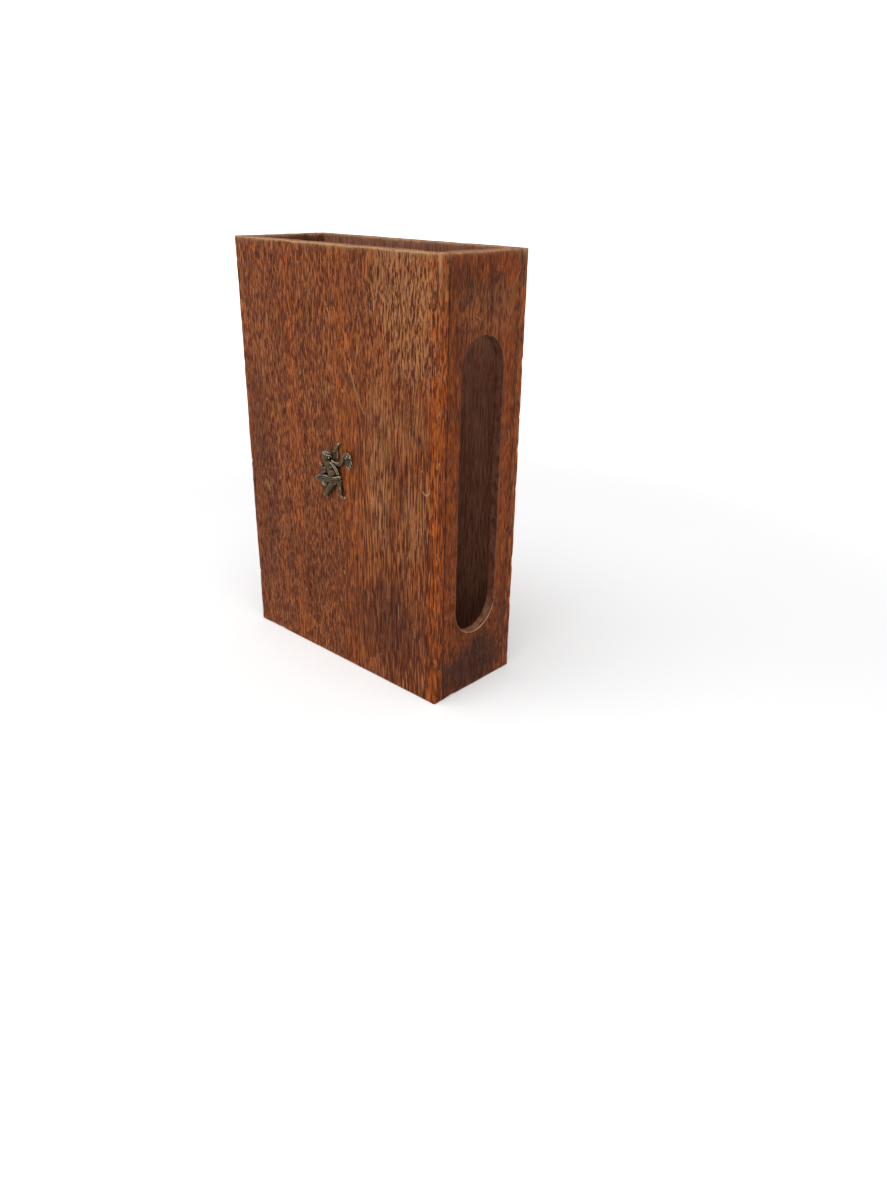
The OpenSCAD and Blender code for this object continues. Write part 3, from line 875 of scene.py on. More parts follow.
castForms = {
    "torso": {
        "blend": 0.3,
        "flat": 0.85,
        "runs": [
            stroke((395, 560, 0.65, 1.3), (422, 640, 0.7, 1.27), (450, 720, 0.75, 1.4),
                   (480, 810, 0.5, 1.35)),
        ],
    },
    "flank": {
        "blend": 0.25,
        # In mm from castMiddle
        "runs": [[(0.5, 1.9, 0.4, 0.8), (1.35, 0.7, 0.4, 0.85), (1.75, -0.7, 0.4, 0.9)]],
    },
    "chestAndBelly": {
        "blend": 0.3,
        "eggs": [
            castEgg(352, 585, 1.35, (0.6, 0.5, 0.42), 20),
            castEgg(420, 590, 1.1, (0.7, 0.55, 0.6), 20),
            castEgg(438, 698, 1.3, (1.05, 0.95, 0.82), 10),
            castEgg(366, 538, 1.1, (0.6, 0.5, 0.5), 0),
        ],
    },
    "neck": {
        "blend": 0.2,
        "runs": [stroke((368, 462, 0.95, 0.66), (392, 522, 0.9, 0.78))],
    },
    "shoulders": {
        "blend": 0.2,
        "runs": [stroke((375, 535, 0.9, 0.75), (440, 525, 0.75, 0.72))],
        "eggs": [castEgg(402, 512, 1.3, (0.5, 0.4, 0.35), 10)],
    },
    "skinFolds": {
        "blend": 0.05,
        "grooves": [
            stroke((442, 712, 2.16, 0.1), (444, 722, 2.12, 0.09)),
            stroke((345, 492, 1.65, 0.06), (375, 505, 1.72, 0.05), (400, 497, 1.6, 0.05)),
        ],
    },
    "nearLeg": {
        "blend": 0.2,
        "runs": [
            stroke((455, 880, 0.7, 1.0), (410, 950, 0.8, 0.98), (368, 1015, 0.8, 0.8), (350, 1045, 0.6, 0.6),
                   (340, 1080, 0.45, 0.42)),
            stroke((345, 1085, 0.5, 0.4), (318, 1070, 0.55, 0.34), (303, 1062, 0.5, 0.26)),
        ],
        "eggs": [castEgg(372, 1000, 1.25, (0.5, 0.45, 0.4), -40)],
    },
    "farLeg": {
        "blend": 0.15,
        "runs": [
            stroke((556, 860, 0.55, 0.72), (575, 930, 0.6, 0.63), (592, 1000, 0.55, 0.5),
                   (598, 1050, 0.5, 0.36), (580, 1090, 0.5, 0.36)),
            stroke((562, 1083, 0.5, 0.36), (600, 1112, 0.55, 0.35), (640, 1148, 0.42, 0.28)),
        ],
        "eggs": [
            castEgg(578, 975, 0.95, (0.36, 0.32, 0.3), -70),
            castEgg(600, 1015, 0.5, (0.3, 0.5, 0.45), 0),
        ],
    },
    "clothMass": {
        "blend": 0.15,
        "runs": [
            stroke((235, 815, 0.55, 0.5), (400, 815, 0.8, 0.82), (548, 812, 0.55, 0.85)),
            stroke((215, 835, 0.5, 0.35), (300, 850, 0.5, 0.6)),
        ],
        "eggs": [castEgg(300, 862, 0.5, (0.95, 0.95, 0.62), 0)],
    },
    "hem": {
        "blend": 0.07,
        "runs": [
            stroke((360, 850, 1.15, 0.16), (400, 872, 1.3, 0.2), (440, 868, 1.25, 0.2),
                   (480, 895, 1.15, 0.2), (520, 872, 1.05, 0.18), (558, 882, 0.85, 0.18),
                   (594, 868, 0.5, 0.17)),
            stroke((345, 815, 1.3, 0.17), (385, 840, 1.45, 0.2), (430, 838, 1.45, 0.2),
                   (470, 858, 1.35, 0.2), (515, 842, 1.25, 0.18), (550, 850, 1.0, 0.19),
                   (590, 838, 0.6, 0.18)),
        ],
    },
    "folds": {
        "blend": 0.07,
        "runs": [
            stroke((195, 785, 0.85, 0.22), (262, 772, 1.2, 0.24), (335, 783, 1.45, 0.22),
                   (415, 808, 1.65, 0.22), (500, 815, 1.45, 0.22), (552, 808, 1.1, 0.22),
                   (586, 806, 0.75, 0.2)),
            stroke((150, 772, 0.8, 0.24), (215, 738, 1.15, 0.28), (300, 740, 1.45, 0.27),
                   (400, 770, 1.75, 0.25), (490, 783, 1.6, 0.27), (548, 772, 1.25, 0.27),
                   (578, 772, 0.95, 0.24)),
        ],
        "eggs": [
            castEgg(150, 790, 0.7, (0.3, 0.22, 0.24), 17),
            castEgg(166, 803, 0.7, (0.3, 0.22, 0.24), 17),
            castEgg(574, 782, 0.95, (0.3, 0.34, 0.34), 17),
        ],
    },
    "corner": {
        "blend": 0.06,
        "runs": [
            stroke((160, 800, 0.6, 0.22), (200, 812, 0.7, 0.22), (240, 830, 0.8, 0.2),
                   (262, 870, 0.8, 0.16)),
            stroke((185, 795, 0.8, 0.16), (235, 800, 1.0, 0.18), (290, 808, 1.2, 0.16)),
        ],
    },
    "nearArm": {
        "blend": 0.11,
        "runs": [
            stroke((352, 528, 1.2, 0.62), (338, 595, 1.3, 0.58), (322, 655, 1.28, 0.5)),
            stroke((322, 655, 1.28, 0.5), (262, 698, 1.15, 0.44), (208, 735, 0.95, 0.32)),
        ],
        "eggs": [castEgg(184, 752, 0.9, (0.42, 0.36, 0.3), -30)],
    },
    "farArm": {
        "blend": 0.08,
        "runs": [stroke((305, 622, 0.75, 0.42), (262, 580, 0.9, 0.38))],
        "eggs": [castEgg(230, 552, 0.9, (0.52, 0.46, 0.42), 30)],
    },
    "fingers": {
        "blend": 0.03,
        "runs": [
            *(stroke((176 - 2 * i, 752 + 8 * i, 0.95, 0.12), (154 + 4 * i, 762 + 10 * i, 0.75, 0.11))
              for i in range(4)),
            *(stroke((240 - 3 * i, 524 + 14 * i, 1.1, 0.12), (222 - 2 * i, 524 + 14 * i, 1.25, 0.14),
                     (206 + i, 534 + 12 * i, 1.05, 0.13), (212 + i, 542 + 11 * i, 0.8, 0.12))
              for i in range(4)),
            stroke((258, 556, 1.15, 0.14), (242, 552, 1.36, 0.13), (224, 558, 1.4, 0.12)),
        ],
    },
    "toes": {
        "blend": 0.03,
        "runs": [
            *(stroke((x + 14, y, 0.55, 0.14), (x, y, 0.5, 0.13))
              for x, y in ((296, 1046), (293, 1058), (295, 1070), (300, 1081))),
            *(stroke((640 + 6 * i, 1163 - 11 * i, 0.45, 0.13), (656 + 7 * i, 1176 - 10 * i, 0.4, 0.11))
              for i in range(4)),
        ],
    },
    "sash": {
        "blend": 0.1,
        "flat": 0.6,
        "runs": [
            stroke((412, 512, 1.2, 0.3), (446, 556, 1.25, 0.3), (486, 616, 1.2, 0.3), (520, 680, 1.05, 0.3),
                   (546, 750, 0.9, 0.28)),
        ],
    },
    "sashFolds": {
        "blend": 0.12,
        "runs": [
            stroke((398, 506, 1.5, 0.1), (430, 548, 1.6, 0.1), (468, 606, 1.55, 0.1),
                   (502, 672, 1.35, 0.1), (530, 742, 1.15, 0.1)),
            stroke((424, 506, 1.25, 0.08), (460, 550, 1.4, 0.08), (500, 610, 1.3, 0.08),
                   (534, 674, 1.1, 0.08), (560, 742, 0.9, 0.08)),
        ],
    },
}

# Folds in the skin: place, radius of the limb there, and its turn in degrees
castCreases = [
    (*castPlace(372, 985, 0.8, 0.93), 45),
    (*castPlace(356, 1040, 0.66, 0.66), 50),
    (*castPlace(588, 962, 0.58, 0.58), 78),
    (*castPlace(598, 1045, 0.5, 0.38), 90),
    (*castPlace(318, 672, 1.27, 0.5), 35),
    (*castPlace(215, 732, 0.97, 0.33), 30),
    (*castPlace(252, 570, 0.92, 0.4), -35),
    (*castPlace(340, 640, 1.28, 0.53), 75),
]

castWings = {
    "far": {
        "feathers": [  # root, tip, half width, bend
            (castPlace(*root, 0.5), castPlace(*tip, 0.35), halfWidth, 0)
            for root, tip, halfWidth in (
                ((459, 307), (464, 471), 0.3), ((479, 293), (484, 461), 0.32),
                ((503, 289), (508, 449), 0.32), ((527, 299), (532, 437), 0.3))
        ],
        "band": stroke((490, 318, 0.45, 0.46), (501, 280, 0.5, 0.56), (520, 236, 0.5, 0.5),
                       (542, 196, 0.42, 0.36), (560, 166, 0.32, 0.15)),
    },
    "near": {
        "feathers": [
            (castPlace(*root, 0.5), castPlace(*tip, 0.3), halfWidth, -0.1)
            for root, tip, halfWidth in (
                ((664, 430), (680, 545), 0.27), ((682, 415), (702, 604), 0.33),
                ((712, 400), (742, 636), 0.35), ((742, 400), (766, 606), 0.33),
                ((764, 425), (784, 545), 0.27))
        ],
        "band": stroke((432, 512, 0.85, 0.5), (480, 532, 0.75, 0.44), (540, 552, 0.6, 0.46),
                       (590, 545, 0.55, 0.5), (620, 490, 0.55, 0.5), (638, 430, 0.55, 0.48),
                       (668, 383, 0.5, 0.44), (708, 362, 0.45, 0.38), (748, 388, 0.42, 0.34),
                       (775, 440, 0.38, 0.28)),
        "coverts": [
            *(castEgg(across, down, 0.72, (0.34, 0.24, 0.16), turn)
              for across, down, turn in (
                  (672, 432, -55), (695, 420, -75), (722, 418, -90), (748, 424, -100))),
            castEgg(700, 398, 0.9, (0.3, 0.26, 0.18), 20),
        ],
        "ridges": [
            stroke((425, 472, 1.3, 0.13), (470, 500, 1.15, 0.14), (530, 522, 1.0, 0.14),
                   (585, 508, 0.95, 0.1)),
            stroke((436, 500, 1.35, 0.12), (480, 528, 1.15, 0.13), (540, 552, 1.0, 0.12),
                   (588, 540, 0.95, 0.09)),
        ],
    },
}


def newField(grid):
    step = grid["step"]
    axes = [np.arange(a, b + step, step, dtype=np.float32) for a, b in zip(grid["low"], grid["high"])]
    return {"axes": axes, "step": step, "value": np.full([len(a) for a in axes], farAway, np.float32)}


def partOf(field, places, margin):
    # The part of the grid round some places, and its coordinates
    picked, coordinates = [], []
    for axis, values in enumerate(field["axes"]):
        first = np.searchsorted(values, min(p[axis] for p in places) - margin)
        last = np.searchsorted(values, max(p[axis] for p in places) + margin)
        if axis == 2:
            first = 0
        picked.append(slice(first, last))
        coordinates.append(values[first:last].reshape([-1 if a == axis else 1 for a in range(3)]))
    return tuple(picked), coordinates


def join(field, picked, distance, blend):
    value = field["value"][picked]
    near = np.maximum(blend - np.abs(value - distance), 0) / blend
    field["value"][picked] = np.minimum(value, distance) - near * near * blend / 4


def carve(field, picked, distance, blend):
    value = field["value"][picked]
    near = np.maximum(blend - np.abs(value + distance), 0) / blend
    field["value"][picked] = np.maximum(value, -distance) + near * near * blend / 4


def runDistance(u, v, h, start, end, sunk, flat):
    # From one ball to the next, each (u, v, h, r). A sunk one runs straight back to the board.
    a, b = np.array(start[:3], np.float32), np.array(end[:3], np.float32)
    along = b - a
    along[2] /= flat
    length = max(float(along @ along), 1e-9)
    t = np.clip(((u - a[0]) * along[0] + (v - a[1]) * along[1] + (h - a[2]) / flat * along[2]) / length, 0, 1)
    du, dv, dh = u - a[0] - t * along[0], v - a[1] - t * along[1], (h - a[2]) / flat - t * along[2]
    if sunk:
        dh = np.maximum(dh, 0) + 0.25 * np.minimum(dh, 0)
    return np.sqrt(du * du + dv * dv + dh * dh) - (start[3] + t * (end[3] - start[3]))


def curveThrough(places, steps=4):
    # Smooth run through places of four numbers each
    p = [np.array(q, float) for q in places]
    p = [2 * p[0] - p[1]] + p + [2 * p[-1] - p[-2]]
    run = []
    for i in range(1, len(p) - 2):
        for s in range(steps):
            t = s / steps
            run.append(0.5 * (2 * p[i] + (p[i + 1] - p[i - 1]) * t
                              + (2 * p[i - 1] - 5 * p[i] + 4 * p[i + 1] - p[i + 2]) * t * t
                              + (3 * p[i] - p[i - 1] - 3 * p[i + 1] + p[i + 2]) * t ** 3))
    return run + [p[-2]]


def strand(field, places, blend, action=join, sunk=True, flat=1.0, steps=4):
    run = curveThrough(places, steps) if len(places) > 1 else [places[0], places[0]]
    picked, (u, v, h) = partOf(field, run, max(p[3] for p in run) + blend + 0.1)
    distance = farAway
    for start, end in zip(run, run[1:]):
        distance = np.minimum(distance, runDistance(u, v, h, start, end, sunk, flat))
    action(field, picked, distance, blend)


def limb(field, start, end, blend, action=join, sunk=True, flat=1.0):
    strand(field, [start, end], blend, action, sunk, flat, 1)


def egg(field, centre, radii, turn, blend, action=join, tilt=0.0):
    # Ellipsoid turned in the plane of the board, in radians, and its long end tilted out from it
    picked, (u, v, h) = partOf(field, (centre,), max(radii) + blend + 0.05)
    u, v, h = u - centre[0], v - centre[1], h - centre[2]
    c, s = np.cos(turn), np.sin(turn)
    u, v = u * c + v * s, v * c - u * s
    c, s = np.cos(tilt), np.sin(tilt)
    u, h = u * c + h * s, h * c - u * s
    near = np.sqrt((u / radii[0]) ** 2 + (v / radii[1]) ** 2 + (h / radii[2]) ** 2)
    steep = np.sqrt((u / radii[0] ** 2) ** 2 + (v / radii[1] ** 2) ** 2 + (h / radii[2] ** 2) ** 2)
    action(field, picked, near * (near - 1) / np.maximum(steep, 1e-6), blend)


def surfaceOf(field):
    # One point in each cell that the surface passes through, joined across the crossed edges
    value = field["value"]
    inside = value < 0
    size = [n - 1 for n in value.shape]
    total = 0
    for i, j, k in cubeCorners:
        total = total + inside[i:i + size[0], j:j + size[1], k:k + size[2]].astype(np.int8)
    cells = np.argwhere((total > 0) & (total < 8))
    number = np.full(size, -1)
    number[tuple(cells.T)] = np.arange(len(cells))
    there = np.zeros((len(cells), 3))
    count = np.zeros(len(cells))
    for c in cubeCorners:
        for axis in range(3):
            if c[axis]:
                continue
            d = list(c)
            d[axis] = 1
            first = value[tuple((cells + c).T)]
            second = value[tuple((cells + d).T)]
            cut = (first < 0) != (second < 0)
            t = np.where(cut, first / np.where(cut, first - second, 1), 0)
            place = np.tile(np.array(c, float), (len(cells), 1))
            place[:, axis] = t
            there += place * cut[:, None]
            count += cut
    points = cells + there / count[:, None]
    quads = []
    for axis in range(3):
        second = [slice(None)] * 3
        second[axis] = slice(1, None)
        first = [slice(None)] * 3
        first[axis] = slice(None, -1)
        leaving = inside[tuple(first)] & ~inside[tuple(second)]
        entering = ~inside[tuple(first)] & inside[tuple(second)]
        a, b = (axis + 1) % 3, (axis + 2) % 3
        for crossed, order in ((leaving, (0, 1, 2, 3)), (entering, (3, 2, 1, 0))):
            where = np.argwhere(crossed)
            where = where[(where[:, a] > 0) & (where[:, b] > 0)
                          & (where[:, a] < size[a]) & (where[:, b] < size[b])]
            ring = []
            for da, db in ((-1, -1), (0, -1), (0, 0), (-1, 0)):
                cell = where.copy()
                cell[:, a] += da
                cell[:, b] += db
                ring.append(number[tuple(cell.T)])
            quads.append(np.stack([ring[o] for o in order], 1))
    low = np.array([axis[0] for axis in field["axes"]])
    return low + points * field["step"], np.concatenate(quads)


def hollows(field, points, reach=3):
    # How much metal lies round each point: above a half in a hollow, below it on a ridge
    solid = np.clip(0.5 - field["value"] / field["step"], 0, 1)
    for _ in range(2):
        for axis in range(3):
            ends = [(reach + 1, reach) if a == axis else (0, 0) for a in range(3)]
            total = np.cumsum(np.pad(solid, ends, mode="edge"), axis=axis)
            count = total.shape[axis]
            solid = (np.take(total, range(2 * reach + 1, count), axis)
                     - np.take(total, range(count - 2 * reach - 1), axis)) / (2 * reach + 1)
    low = np.array([axis[0] for axis in field["axes"]])
    place = (points - low) / field["step"]
    cell = np.minimum(place.astype(int), np.array(solid.shape) - 2)
    part = place - cell
    total = 0
    for corner in cubeCorners:
        weight = np.prod(np.where(corner, part, 1 - part), axis=1)
        total = total + weight * solid[tuple((cell + corner).T)]
    return total


def lay(field, form):
    blend, flat = form["blend"], form.get("flat", 1.0)
    for run in form.get("runs", ()):
        strand(field, run, blend, flat=flat)
    for place, radii, turn in form.get("eggs", ()):
        egg(field, place, radii, math.radians(turn), blend)
    for run in form.get("grooves", ()):
        strand(field, run, castDetail["grooveBlend"], carve, sunk=False)


castDetail = {  # mm, where nothing else is said
    "grooveBlend": 0.05,
    "crease": {"out": 0.075, "half": 1.2, "places": 7, "width": 0.1, "blend": 0.06},  # half its turn, radians
    "scale": {"step": 0.8, "radii": (0.62, 0.4), "thick": 0.12, "sunk": 0.03, "tilt": -0.25, "blend": 0.02},
    "featherFlat": 0.55,
    "featherBody": ((0, 0.6), (0.35, 1.0), (0.75, 0.95), (1, 0.4)),  # place along it, share of its half width
    "quill": ((0, 1, 0.055), (0.5, 1, 0.05), (0.95, 0.6, 0.03)),  # place along it, rise and radius
    # Place along it, share of the way aside, rise and radius
    "barbs": ((0.1, 1, 0.9, 0.03), (0.5, 1, 0.92, 0.04), (0.85, 0.8, 0.8, 0.03)),
}
bunchLook = {
    "frills": 9,
    "frillOut": 0.9,  # mm from the middle
    "frillHeight": 0.8,
    "frillRadii": (0.36, 0.3, 0.5),
    "coilPlaces": 13,
    "coilFirst": (150, 0.86),  # degrees round, and mm from the middle
    "coilStep": (-48, -0.05),
    "coilHeight": (0.16, 0.02),  # out from the middle, and the rise with each step
    "coilRadius": 0.17,
}
headLook = {
    "ahead": (-0.84, -0.34, 0.42),  # the way that the child looks
    "up": (-0.28, 0.95, 0.12),
    "curls": 64,
    "curlRadii": (0.2, 0.25),  # as a share of the head's radius
    "curlPlaces": 10,
    "curlTurn": 0.8,  # radians at each place
    "curlShrink": 0.085,
    "curlRise": (0.1, 0.016),
    "curlThick": 0.075,
    "seed": 4,
}


def crease(field, u, v, h, radius, turn):
    # A fold in the skin, round the front of a limb
    look = castDetail["crease"]
    turn = math.radians(turn)
    across = (-math.sin(turn), math.cos(turn))
    reach = radius + look["out"]
    run = []
    for a in np.linspace(-look["half"], look["half"], look["places"]):
        out = reach * math.sin(a)
        width = look["width"] * math.cos(a) ** 0.5
        run.append((u + across[0] * out, v + across[1] * out, h + reach * math.cos(a), width))
    strand(field, run, look["blend"], carve, sunk=False, steps=2)


def scales(field, path, size, flat, rows=(-0.6, 0, 0.6)):
    look = castDetail["scale"]
    long, wide = (size * share for share in look["radii"])
    run = np.array(curveThrough(path, 8))
    gone, number = 0.0, 0
    for a, b in zip(run, run[1:]):
        gone += math.dist(a[:2], b[:2])
        if gone < size * look["step"]:
            continue
        gone = 0.0
        number += 1
        way = (b - a)[:2] / math.dist(a[:2], b[:2])
        shift = 0 if number % 2 else rows[-1] / 2
        for row in rows:
            out = (row + shift) * a[3]
            if abs(out) > a[3] * 0.95:
                continue
            rise = flat * math.sqrt(a[3] ** 2 - out ** 2)
            place = (a[0] - way[1] * out, a[1] + way[0] * out, a[2] + rise - look["sunk"])
            turn = math.atan2(way[1], way[0])
            egg(field, place, (long, wide, look["thick"]), turn, look["blend"], tilt=look["tilt"])


def feather(field, root, tip, width, bend):
    flat = castDetail["featherFlat"]
    root, tip = np.array(root), np.array(tip)
    along = tip - root
    aside = np.array((-along[1], along[0], 0))
    unit = aside / np.linalg.norm(aside)

    def at(t, out=0.0, rise=0.0):
        place = root + along * t + aside * bend * math.sin(math.pi * t)
        return tuple(place + unit * out * width + (0, 0, rise * width * flat))

    body = [(*at(t), width * share) for t, share in castDetail["featherBody"]]
    strand(field, body, 0.02, flat=flat)
    quill = [(*at(t, 0, rise), radius) for t, rise, radius in castDetail["quill"]]
    strand(field, quill, 0.03, sunk=False)
    for side in (-0.5, 0.5):
        groove = [(*at(t, side * out, rise), radius) for t, out, rise, radius in castDetail["barbs"]]
        strand(field, groove, 0.03, carve, sunk=False)


def bunchOfCloth(field, centre):
    look = bunchLook
    for i in range(look["frills"]):
        a = math.radians(360 / look["frills"] * i)
        place = (centre[0] + look["frillOut"] * math.cos(a), centre[1] + look["frillOut"] * math.sin(a),
                 look["frillHeight"])
        egg(field, place, look["frillRadii"], a, 0.06)
    coil = []
    for i in range(look["coilPlaces"]):
        turn, out = (first + step * i for first, step in zip(look["coilFirst"], look["coilStep"]))
        a = math.radians(turn)
        height = centre[2] + look["coilHeight"][0] + look["coilHeight"][1] * i
        place = (centre[0] + out * math.cos(a), centre[1] + out * math.sin(a), height)
        coil.append((*place, look["coilRadius"]))
    strand(field, coil, 0.05, steps=3, sunk=False)


def headAxes():
    ahead, up = np.array(headLook["ahead"]), np.array(headLook["up"])
    ahead /= np.linalg.norm(ahead)
    up -= ahead * (up @ ahead)
    up /= np.linalg.norm(up)
    return ahead, np.cross(up, ahead), up


def childFace(field, centre, radius):
    # Places are ahead, aside and up from the middle of the head, and all sizes are shares of its radius
    ahead, side, up = headAxes()

    def at(x, s, n):
        return tuple(centre + radius * (ahead * x + side * s + up * n))

    def ball(x, s, n, r, blend=0.1, action=join, sunk=False):
        place = (*at(x, s, n), r * radius)
        limb(field, place, place, blend, action, sunk)

    def line(a, b, ra, rb, blend=0.04, action=join):
        limb(field, (*at(*a), ra * radius), (*at(*b), rb * radius), blend, action, False)

    ball(-0.1, -0.35, 0, 0.68, sunk=True)  # what joins the head to the board
    ball(0, 0, 0.05, 0.9)  # skull
    ball(-0.22, 0, 0.1, 0.8)
    ball(0.38, 0, -0.3, 0.66, 0.2)  # face and forehead
    ball(0.5, 0, 0.2, 0.5, 0.15)
    for s in (-1, 1):
        ball(0.6, s * 0.34, -0.4, 0.33, 0.12)  # cheek
    ball(0.62, 0, -0.82, 0.26)  # chin
    ball(0.84, 0, -0.72, 0.19, 0.08)
    for s in (-1, 1):
        ball(1.0, s * 0.27, -0.05, 0.19, 0.06, carve)  # socket, eye and brow
        ball(0.83, s * 0.27, -0.07, 0.13, 0.02)
        line((0.95, s * 0.1, 0.12), (0.84, s * 0.44, 0.1), 0.07, 0.05)
    line((0.98, 0, 0.05), (1.12, 0, -0.22), 0.07, 0.12, 0.08)  # nose
    for s in (-1, 1):
        ball(1.02, s * 0.1, -0.26, 0.075, 0.04)
    line((1.0, -0.13, -0.46), (1.0, 0.13, -0.46), 0.065, 0.065)  # lips
    line((0.97, -0.1, -0.58), (0.97, 0.1, -0.58), 0.07, 0.07)
    line((1.1, -0.17, -0.52), (1.1, 0.17, -0.52), 0.04, 0.04, 0.03, carve)
    ear = []
    for a in np.linspace(-1.2, 4.0, 8):
        ear.append((*at(-0.02 + 0.17 * math.cos(a), 0.84, -0.12 + 0.23 * math.sin(a)), 0.075))
    strand(field, ear, 0.03, sunk=False, steps=2)


def childCurls(field, centre, radius):
    # Spread evenly over the head, but for the neck, the face and the ears
    look = headLook
    ahead, side, up = headAxes()
    dice = np.random.default_rng(look["seed"])
    golden = math.pi * (3 - 5 ** 0.5)
    for i in range(look["curls"]):
        n = 1 - 2 * (i + 0.5) / look["curls"]
        x, s = math.sqrt(1 - n * n) * math.cos(golden * i), math.sqrt(1 - n * n) * math.sin(golden * i)
        neck = n < -0.62
        face = x > 0.2 and n < 0.62 - 0.35 * (1 - x)
        ear = -0.3 < x < 0.35 and -0.5 < n < 0.22 and abs(s) > 0.75
        middle = centre + radius * (ahead * (x * 0.96 - 0.05) + side * s * 0.9 + up * (n * 0.94 + 0.06))
        if neck or face or ear or middle[2] < 0.1:
            continue
        out = ahead * x + side * s + up * n
        first = np.cross(out, up + 0.01)
        first /= np.linalg.norm(first)
        second = np.cross(out, first)
        turn, way = dice.uniform(0, 6.28), dice.choice((-1, 1))
        size = radius * dice.uniform(*look["curlRadii"])
        place = (*(middle - out * 0.04), size * 0.85)
        limb(field, place, place, 0.04, join, False)
        run = []
        for j in range(look["curlPlaces"]):
            a, away = turn + way * j * look["curlTurn"], size * (1 - j * look["curlShrink"])
            rise = look["curlRise"][0] + look["curlRise"][1] * j
            place = middle + first * away * math.cos(a) + second * away * math.sin(a) + out * rise
            run.append((*place, look["curlThick"]))
        strand(field, run, 0.025, sunk=False, steps=2)


def childHead(field, centre, radius):
    childFace(field, np.array(centre), radius)
    childCurls(field, np.array(centre), radius)


def childField():
    field = newField(castGrid)
    for name in ("torso", "flank", "chestAndBelly", "neck", "shoulders", "skinFolds"):
        lay(field, castForms[name])
    for root, tip, width, bend in castWings["far"]["feathers"]:
        feather(field, root, tip, width, bend)
    strand(field, castWings["far"]["band"], 0.05, flat=0.75)
    scales(field, castWings["far"]["band"], 0.32, 0.75)
    for root, tip, width, bend in castWings["near"]["feathers"]:
        feather(field, root, tip, width, bend)
    strand(field, castWings["near"]["band"], 0.08, flat=0.85)
    scales(field, castWings["near"]["band"][3:], 0.38, 0.85)
    lay(field, {"blend": 0.03, "eggs": castWings["near"]["coverts"]})
    lay(field, {"blend": 0.05, "runs": castWings["near"]["ridges"]})
    for name in ("nearLeg", "farLeg", "toes", "clothMass", "hem", "folds", "corner"):
        lay(field, castForms[name])
    bunchOfCloth(field, castBunch)
    for name in ("nearArm", "farArm", "fingers", "sash", "sashFolds"):
        lay(field, castForms[name])
    for row in castCreases:
        crease(field, *row)
    childHead(field, *castHead)
    # Flat at the back, where it sinks into the board
    behind = castGrid["low"][2] + 0.002 - field["axes"][2]
    field["value"] = np.maximum(field["value"], behind.reshape(1, 1, -1))
    return field


def makeChild(material):
    field = childField()
    points, quads = surfaceOf(field)
    hollow = hollows(field, points)
    rough = slowNoise(points, 0.35, 9) * 0.012
    points[:, 2] += np.where(points[:, 2] > 0, rough, 0)
    right, up, out = points.T
    placed = np.stack([right + castMiddle[0], frontFace - out, up + castMiddle[1]], axis=1)
    piece = addPiece("puttoCasting", placed, quads, {"hollow": hollow}, material)
    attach(piece, "root")
    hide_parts("putto_ornament")


bronzeLook = {
    "hollow": rgb(20, 16, 12),
    "body": rgb(66, 55, 40),
    "ridge": rgb(168, 156, 132),
    "warm": rgb(86, 68, 42),
    "metallic": 0.8,
    "roughness": 0.38,
}


def darkBronze():
    material, tree, shader = newMaterial("darkBronze")
    look = bronzeLook
    place = millimetres(tree)
    cloud = noiseOf(tree, stretched(tree, place, (0.9, 0.9, 0.9)), 4.0, 0.6)
    pits = noiseOf(tree, stretched(tree, place, (7, 7, 7)), 3.0, 0.7)
    hollow = calc(tree, "ADD", attributeOf(tree, "hollow"), calc(tree, "MULTIPLY_ADD", pits, 0.1, -0.05))
    body = mixColour(tree, fade(tree, cloud, 0.4, 0.65), look["body"], look["warm"])
    colour = mixColour(tree, fade(tree, hollow, 0.47, 0.6), body, look["hollow"])
    rubbedAndHighlight = times(tree, fade(tree, hollow, 0.42, 0.24), fade(tree, cloud, 0.25, 0.5, 0.6, 1.0))
    colour = mixColour(tree, rubbedAndHighlight, colour, look["ridge"])
    tree.links.new(colour, shader.inputs["Base Color"])
    shader.inputs["Metallic"].default_value = look["metallic"]
    rough = calc(tree, "MULTIPLY_ADD", fade(tree, hollow, 0.35, 0.6), 0.22, look["roughness"] - 0.06)
    tree.links.new(calc(tree, "MULTIPLY_ADD", cloud, 0.12, rough), shader.inputs["Roughness"])
    bump = addNode(tree, "ShaderNodeBump", {"Height": pits, "Strength": 0.5, "Distance": 0.03 * mm})
    tree.links.new(bump.outputs[0], shader.inputs["Normal"])
    return material


def drawnBrass():
    material, tree, shader = newMaterial("drawnBrass")
    cloud = noiseOf(tree, stretched(tree, millimetres(tree), (2.5, 0.4, 2.5)), 3.0, 0.6)
    colour = mixColour(tree, cloud, rgb(150, 120, 66), rgb(188, 154, 92))
    tree.links.new(colour, shader.inputs["Base Color"])
    shader.inputs["Metallic"].default_value = 1.0
    tree.links.new(fade(tree, cloud, 0.3, 0.7, 0.35, 0.5), shader.inputs["Roughness"])
    return material


def dress(node, material):
    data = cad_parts[node].data
    data.materials.clear()
    data.materials.append(material)


makeChild(darkBronze())
dress("ornament_pins", drawnBrass())
print("metal made")


# Floor, backdrop and light

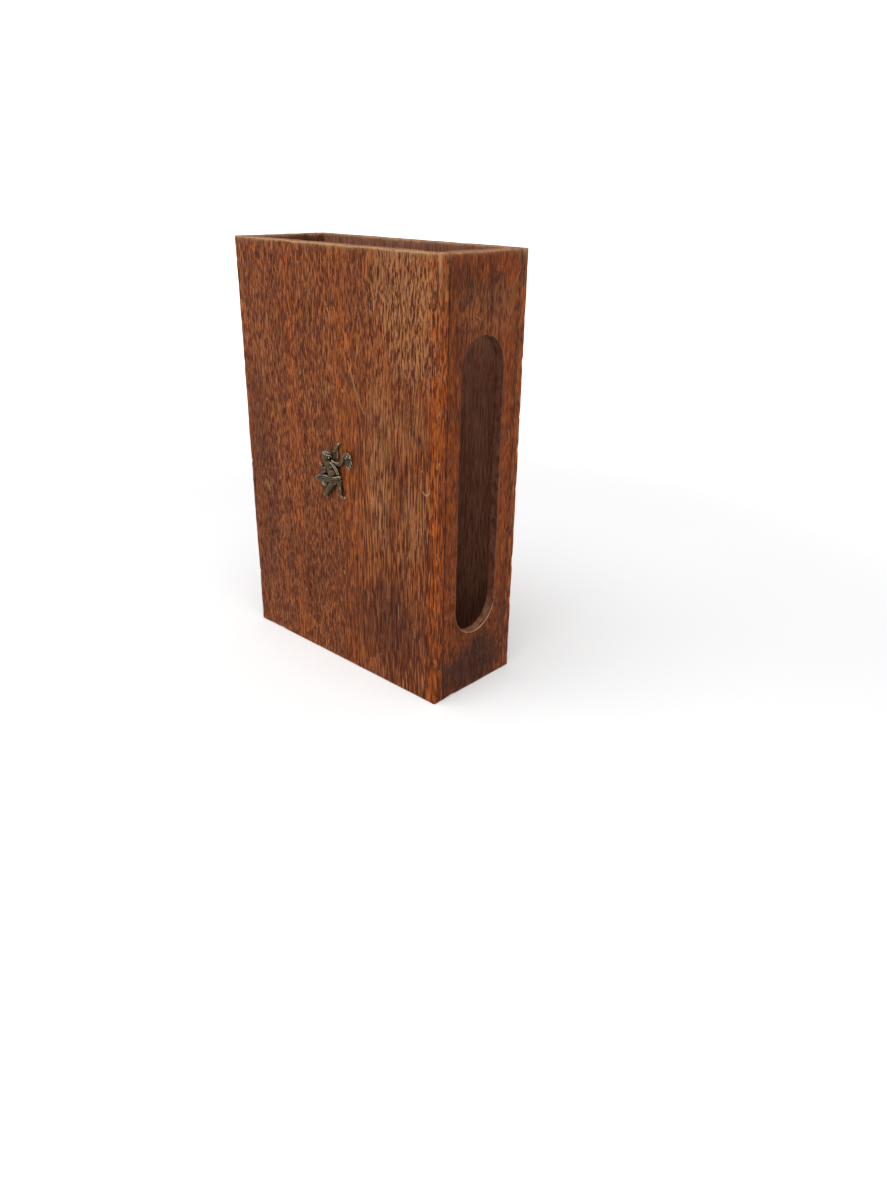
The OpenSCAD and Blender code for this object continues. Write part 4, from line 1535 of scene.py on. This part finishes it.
studio = {
    "floorSize": 4.0,  # m
    "floorColour": (0.82, 0.82, 0.82, 1),
    "floorLift": 0.2,  # added to what the camera sees of the floor, so that it reads as white
    "whiteFrom": (0.15, 0.5),  # m from the object, over which the floor fades to plain white
    "worldStrength": 0.42,
    "lamps": {  # place and size in m, power in W
        "overhead": ((0.05, -0.25, 0.75), 0.7, 4.0),
        "left": ((-0.65, -0.6, 0.45), 0.5, 1.6),
        "right": ((0.75, -0.25, 0.4), 0.5, 1.2),
    },
    "aim": (0, 0, 0.05),
}


def raysShownWhite(tree):
    path = addNode(tree, "ShaderNodeLightPath").outputs
    return strongest(tree, path["Is Camera Ray"], path["Is Glossy Ray"], path["Is Transmission Ray"])


def makeFloor():
    half = studio["floorSize"] / 2
    data = bpy.data.meshes.new("floor")
    corners = [(-half, -half, 0), (half, -half, 0), (half, half, 0), (-half, half, 0)]
    data.from_pydata(corners, [], [(0, 1, 2, 3)])
    floor = bpy.data.objects.new("floor", data)
    bpy.context.scene.collection.objects.link(floor)
    material, tree, shader = newMaterial("paleFloor")
    shader.inputs["Base Color"].default_value = studio["floorColour"]
    shader.inputs["Roughness"].default_value = 0.9
    shader.inputs["Emission Color"].default_value = (1, 1, 1, 1)
    coordinates = addNode(tree, "ShaderNodeTexCoord").outputs["Object"]
    away = addNode(tree, "ShaderNodeVectorMath", {0: coordinates}, operation="LENGTH").outputs["Value"]
    lift = fade(tree, away, *studio["whiteFrom"], start=studio["floorLift"], end=1.0)
    tree.links.new(times(tree, raysShownWhite(tree), lift), shader.inputs["Emission Strength"])
    data.materials.append(material)


def makeWorld():
    world = bpy.data.worlds.new("studioWorld")
    bpy.context.scene.world = world
    world.use_nodes = True
    tree = world.node_tree
    back = tree.nodes["Background"]
    back.inputs["Color"].default_value = (1, 1, 1, 1)
    plain = studio["worldStrength"]
    strength = calc(tree, "MULTIPLY_ADD", raysShownWhite(tree), 1 - plain, plain)
    tree.links.new(strength, back.inputs["Strength"])


def makeLamps():
    for name, (place, size, power) in studio["lamps"].items():
        data = bpy.data.lights.new(name, "AREA")
        data.size = size
        data.energy = power
        lamp = bpy.data.objects.new(name, data)
        bpy.context.scene.collection.objects.link(lamp)
        lamp.location = place
        aim = Vector(studio["aim"]) - Vector(place)
        lamp.rotation_euler = aim.to_track_quat("-Z", "Y").to_euler()


makeFloor()
makeWorld()
makeLamps()
bpy.context.scene.view_settings.view_transform = "Standard"
print("studio made")
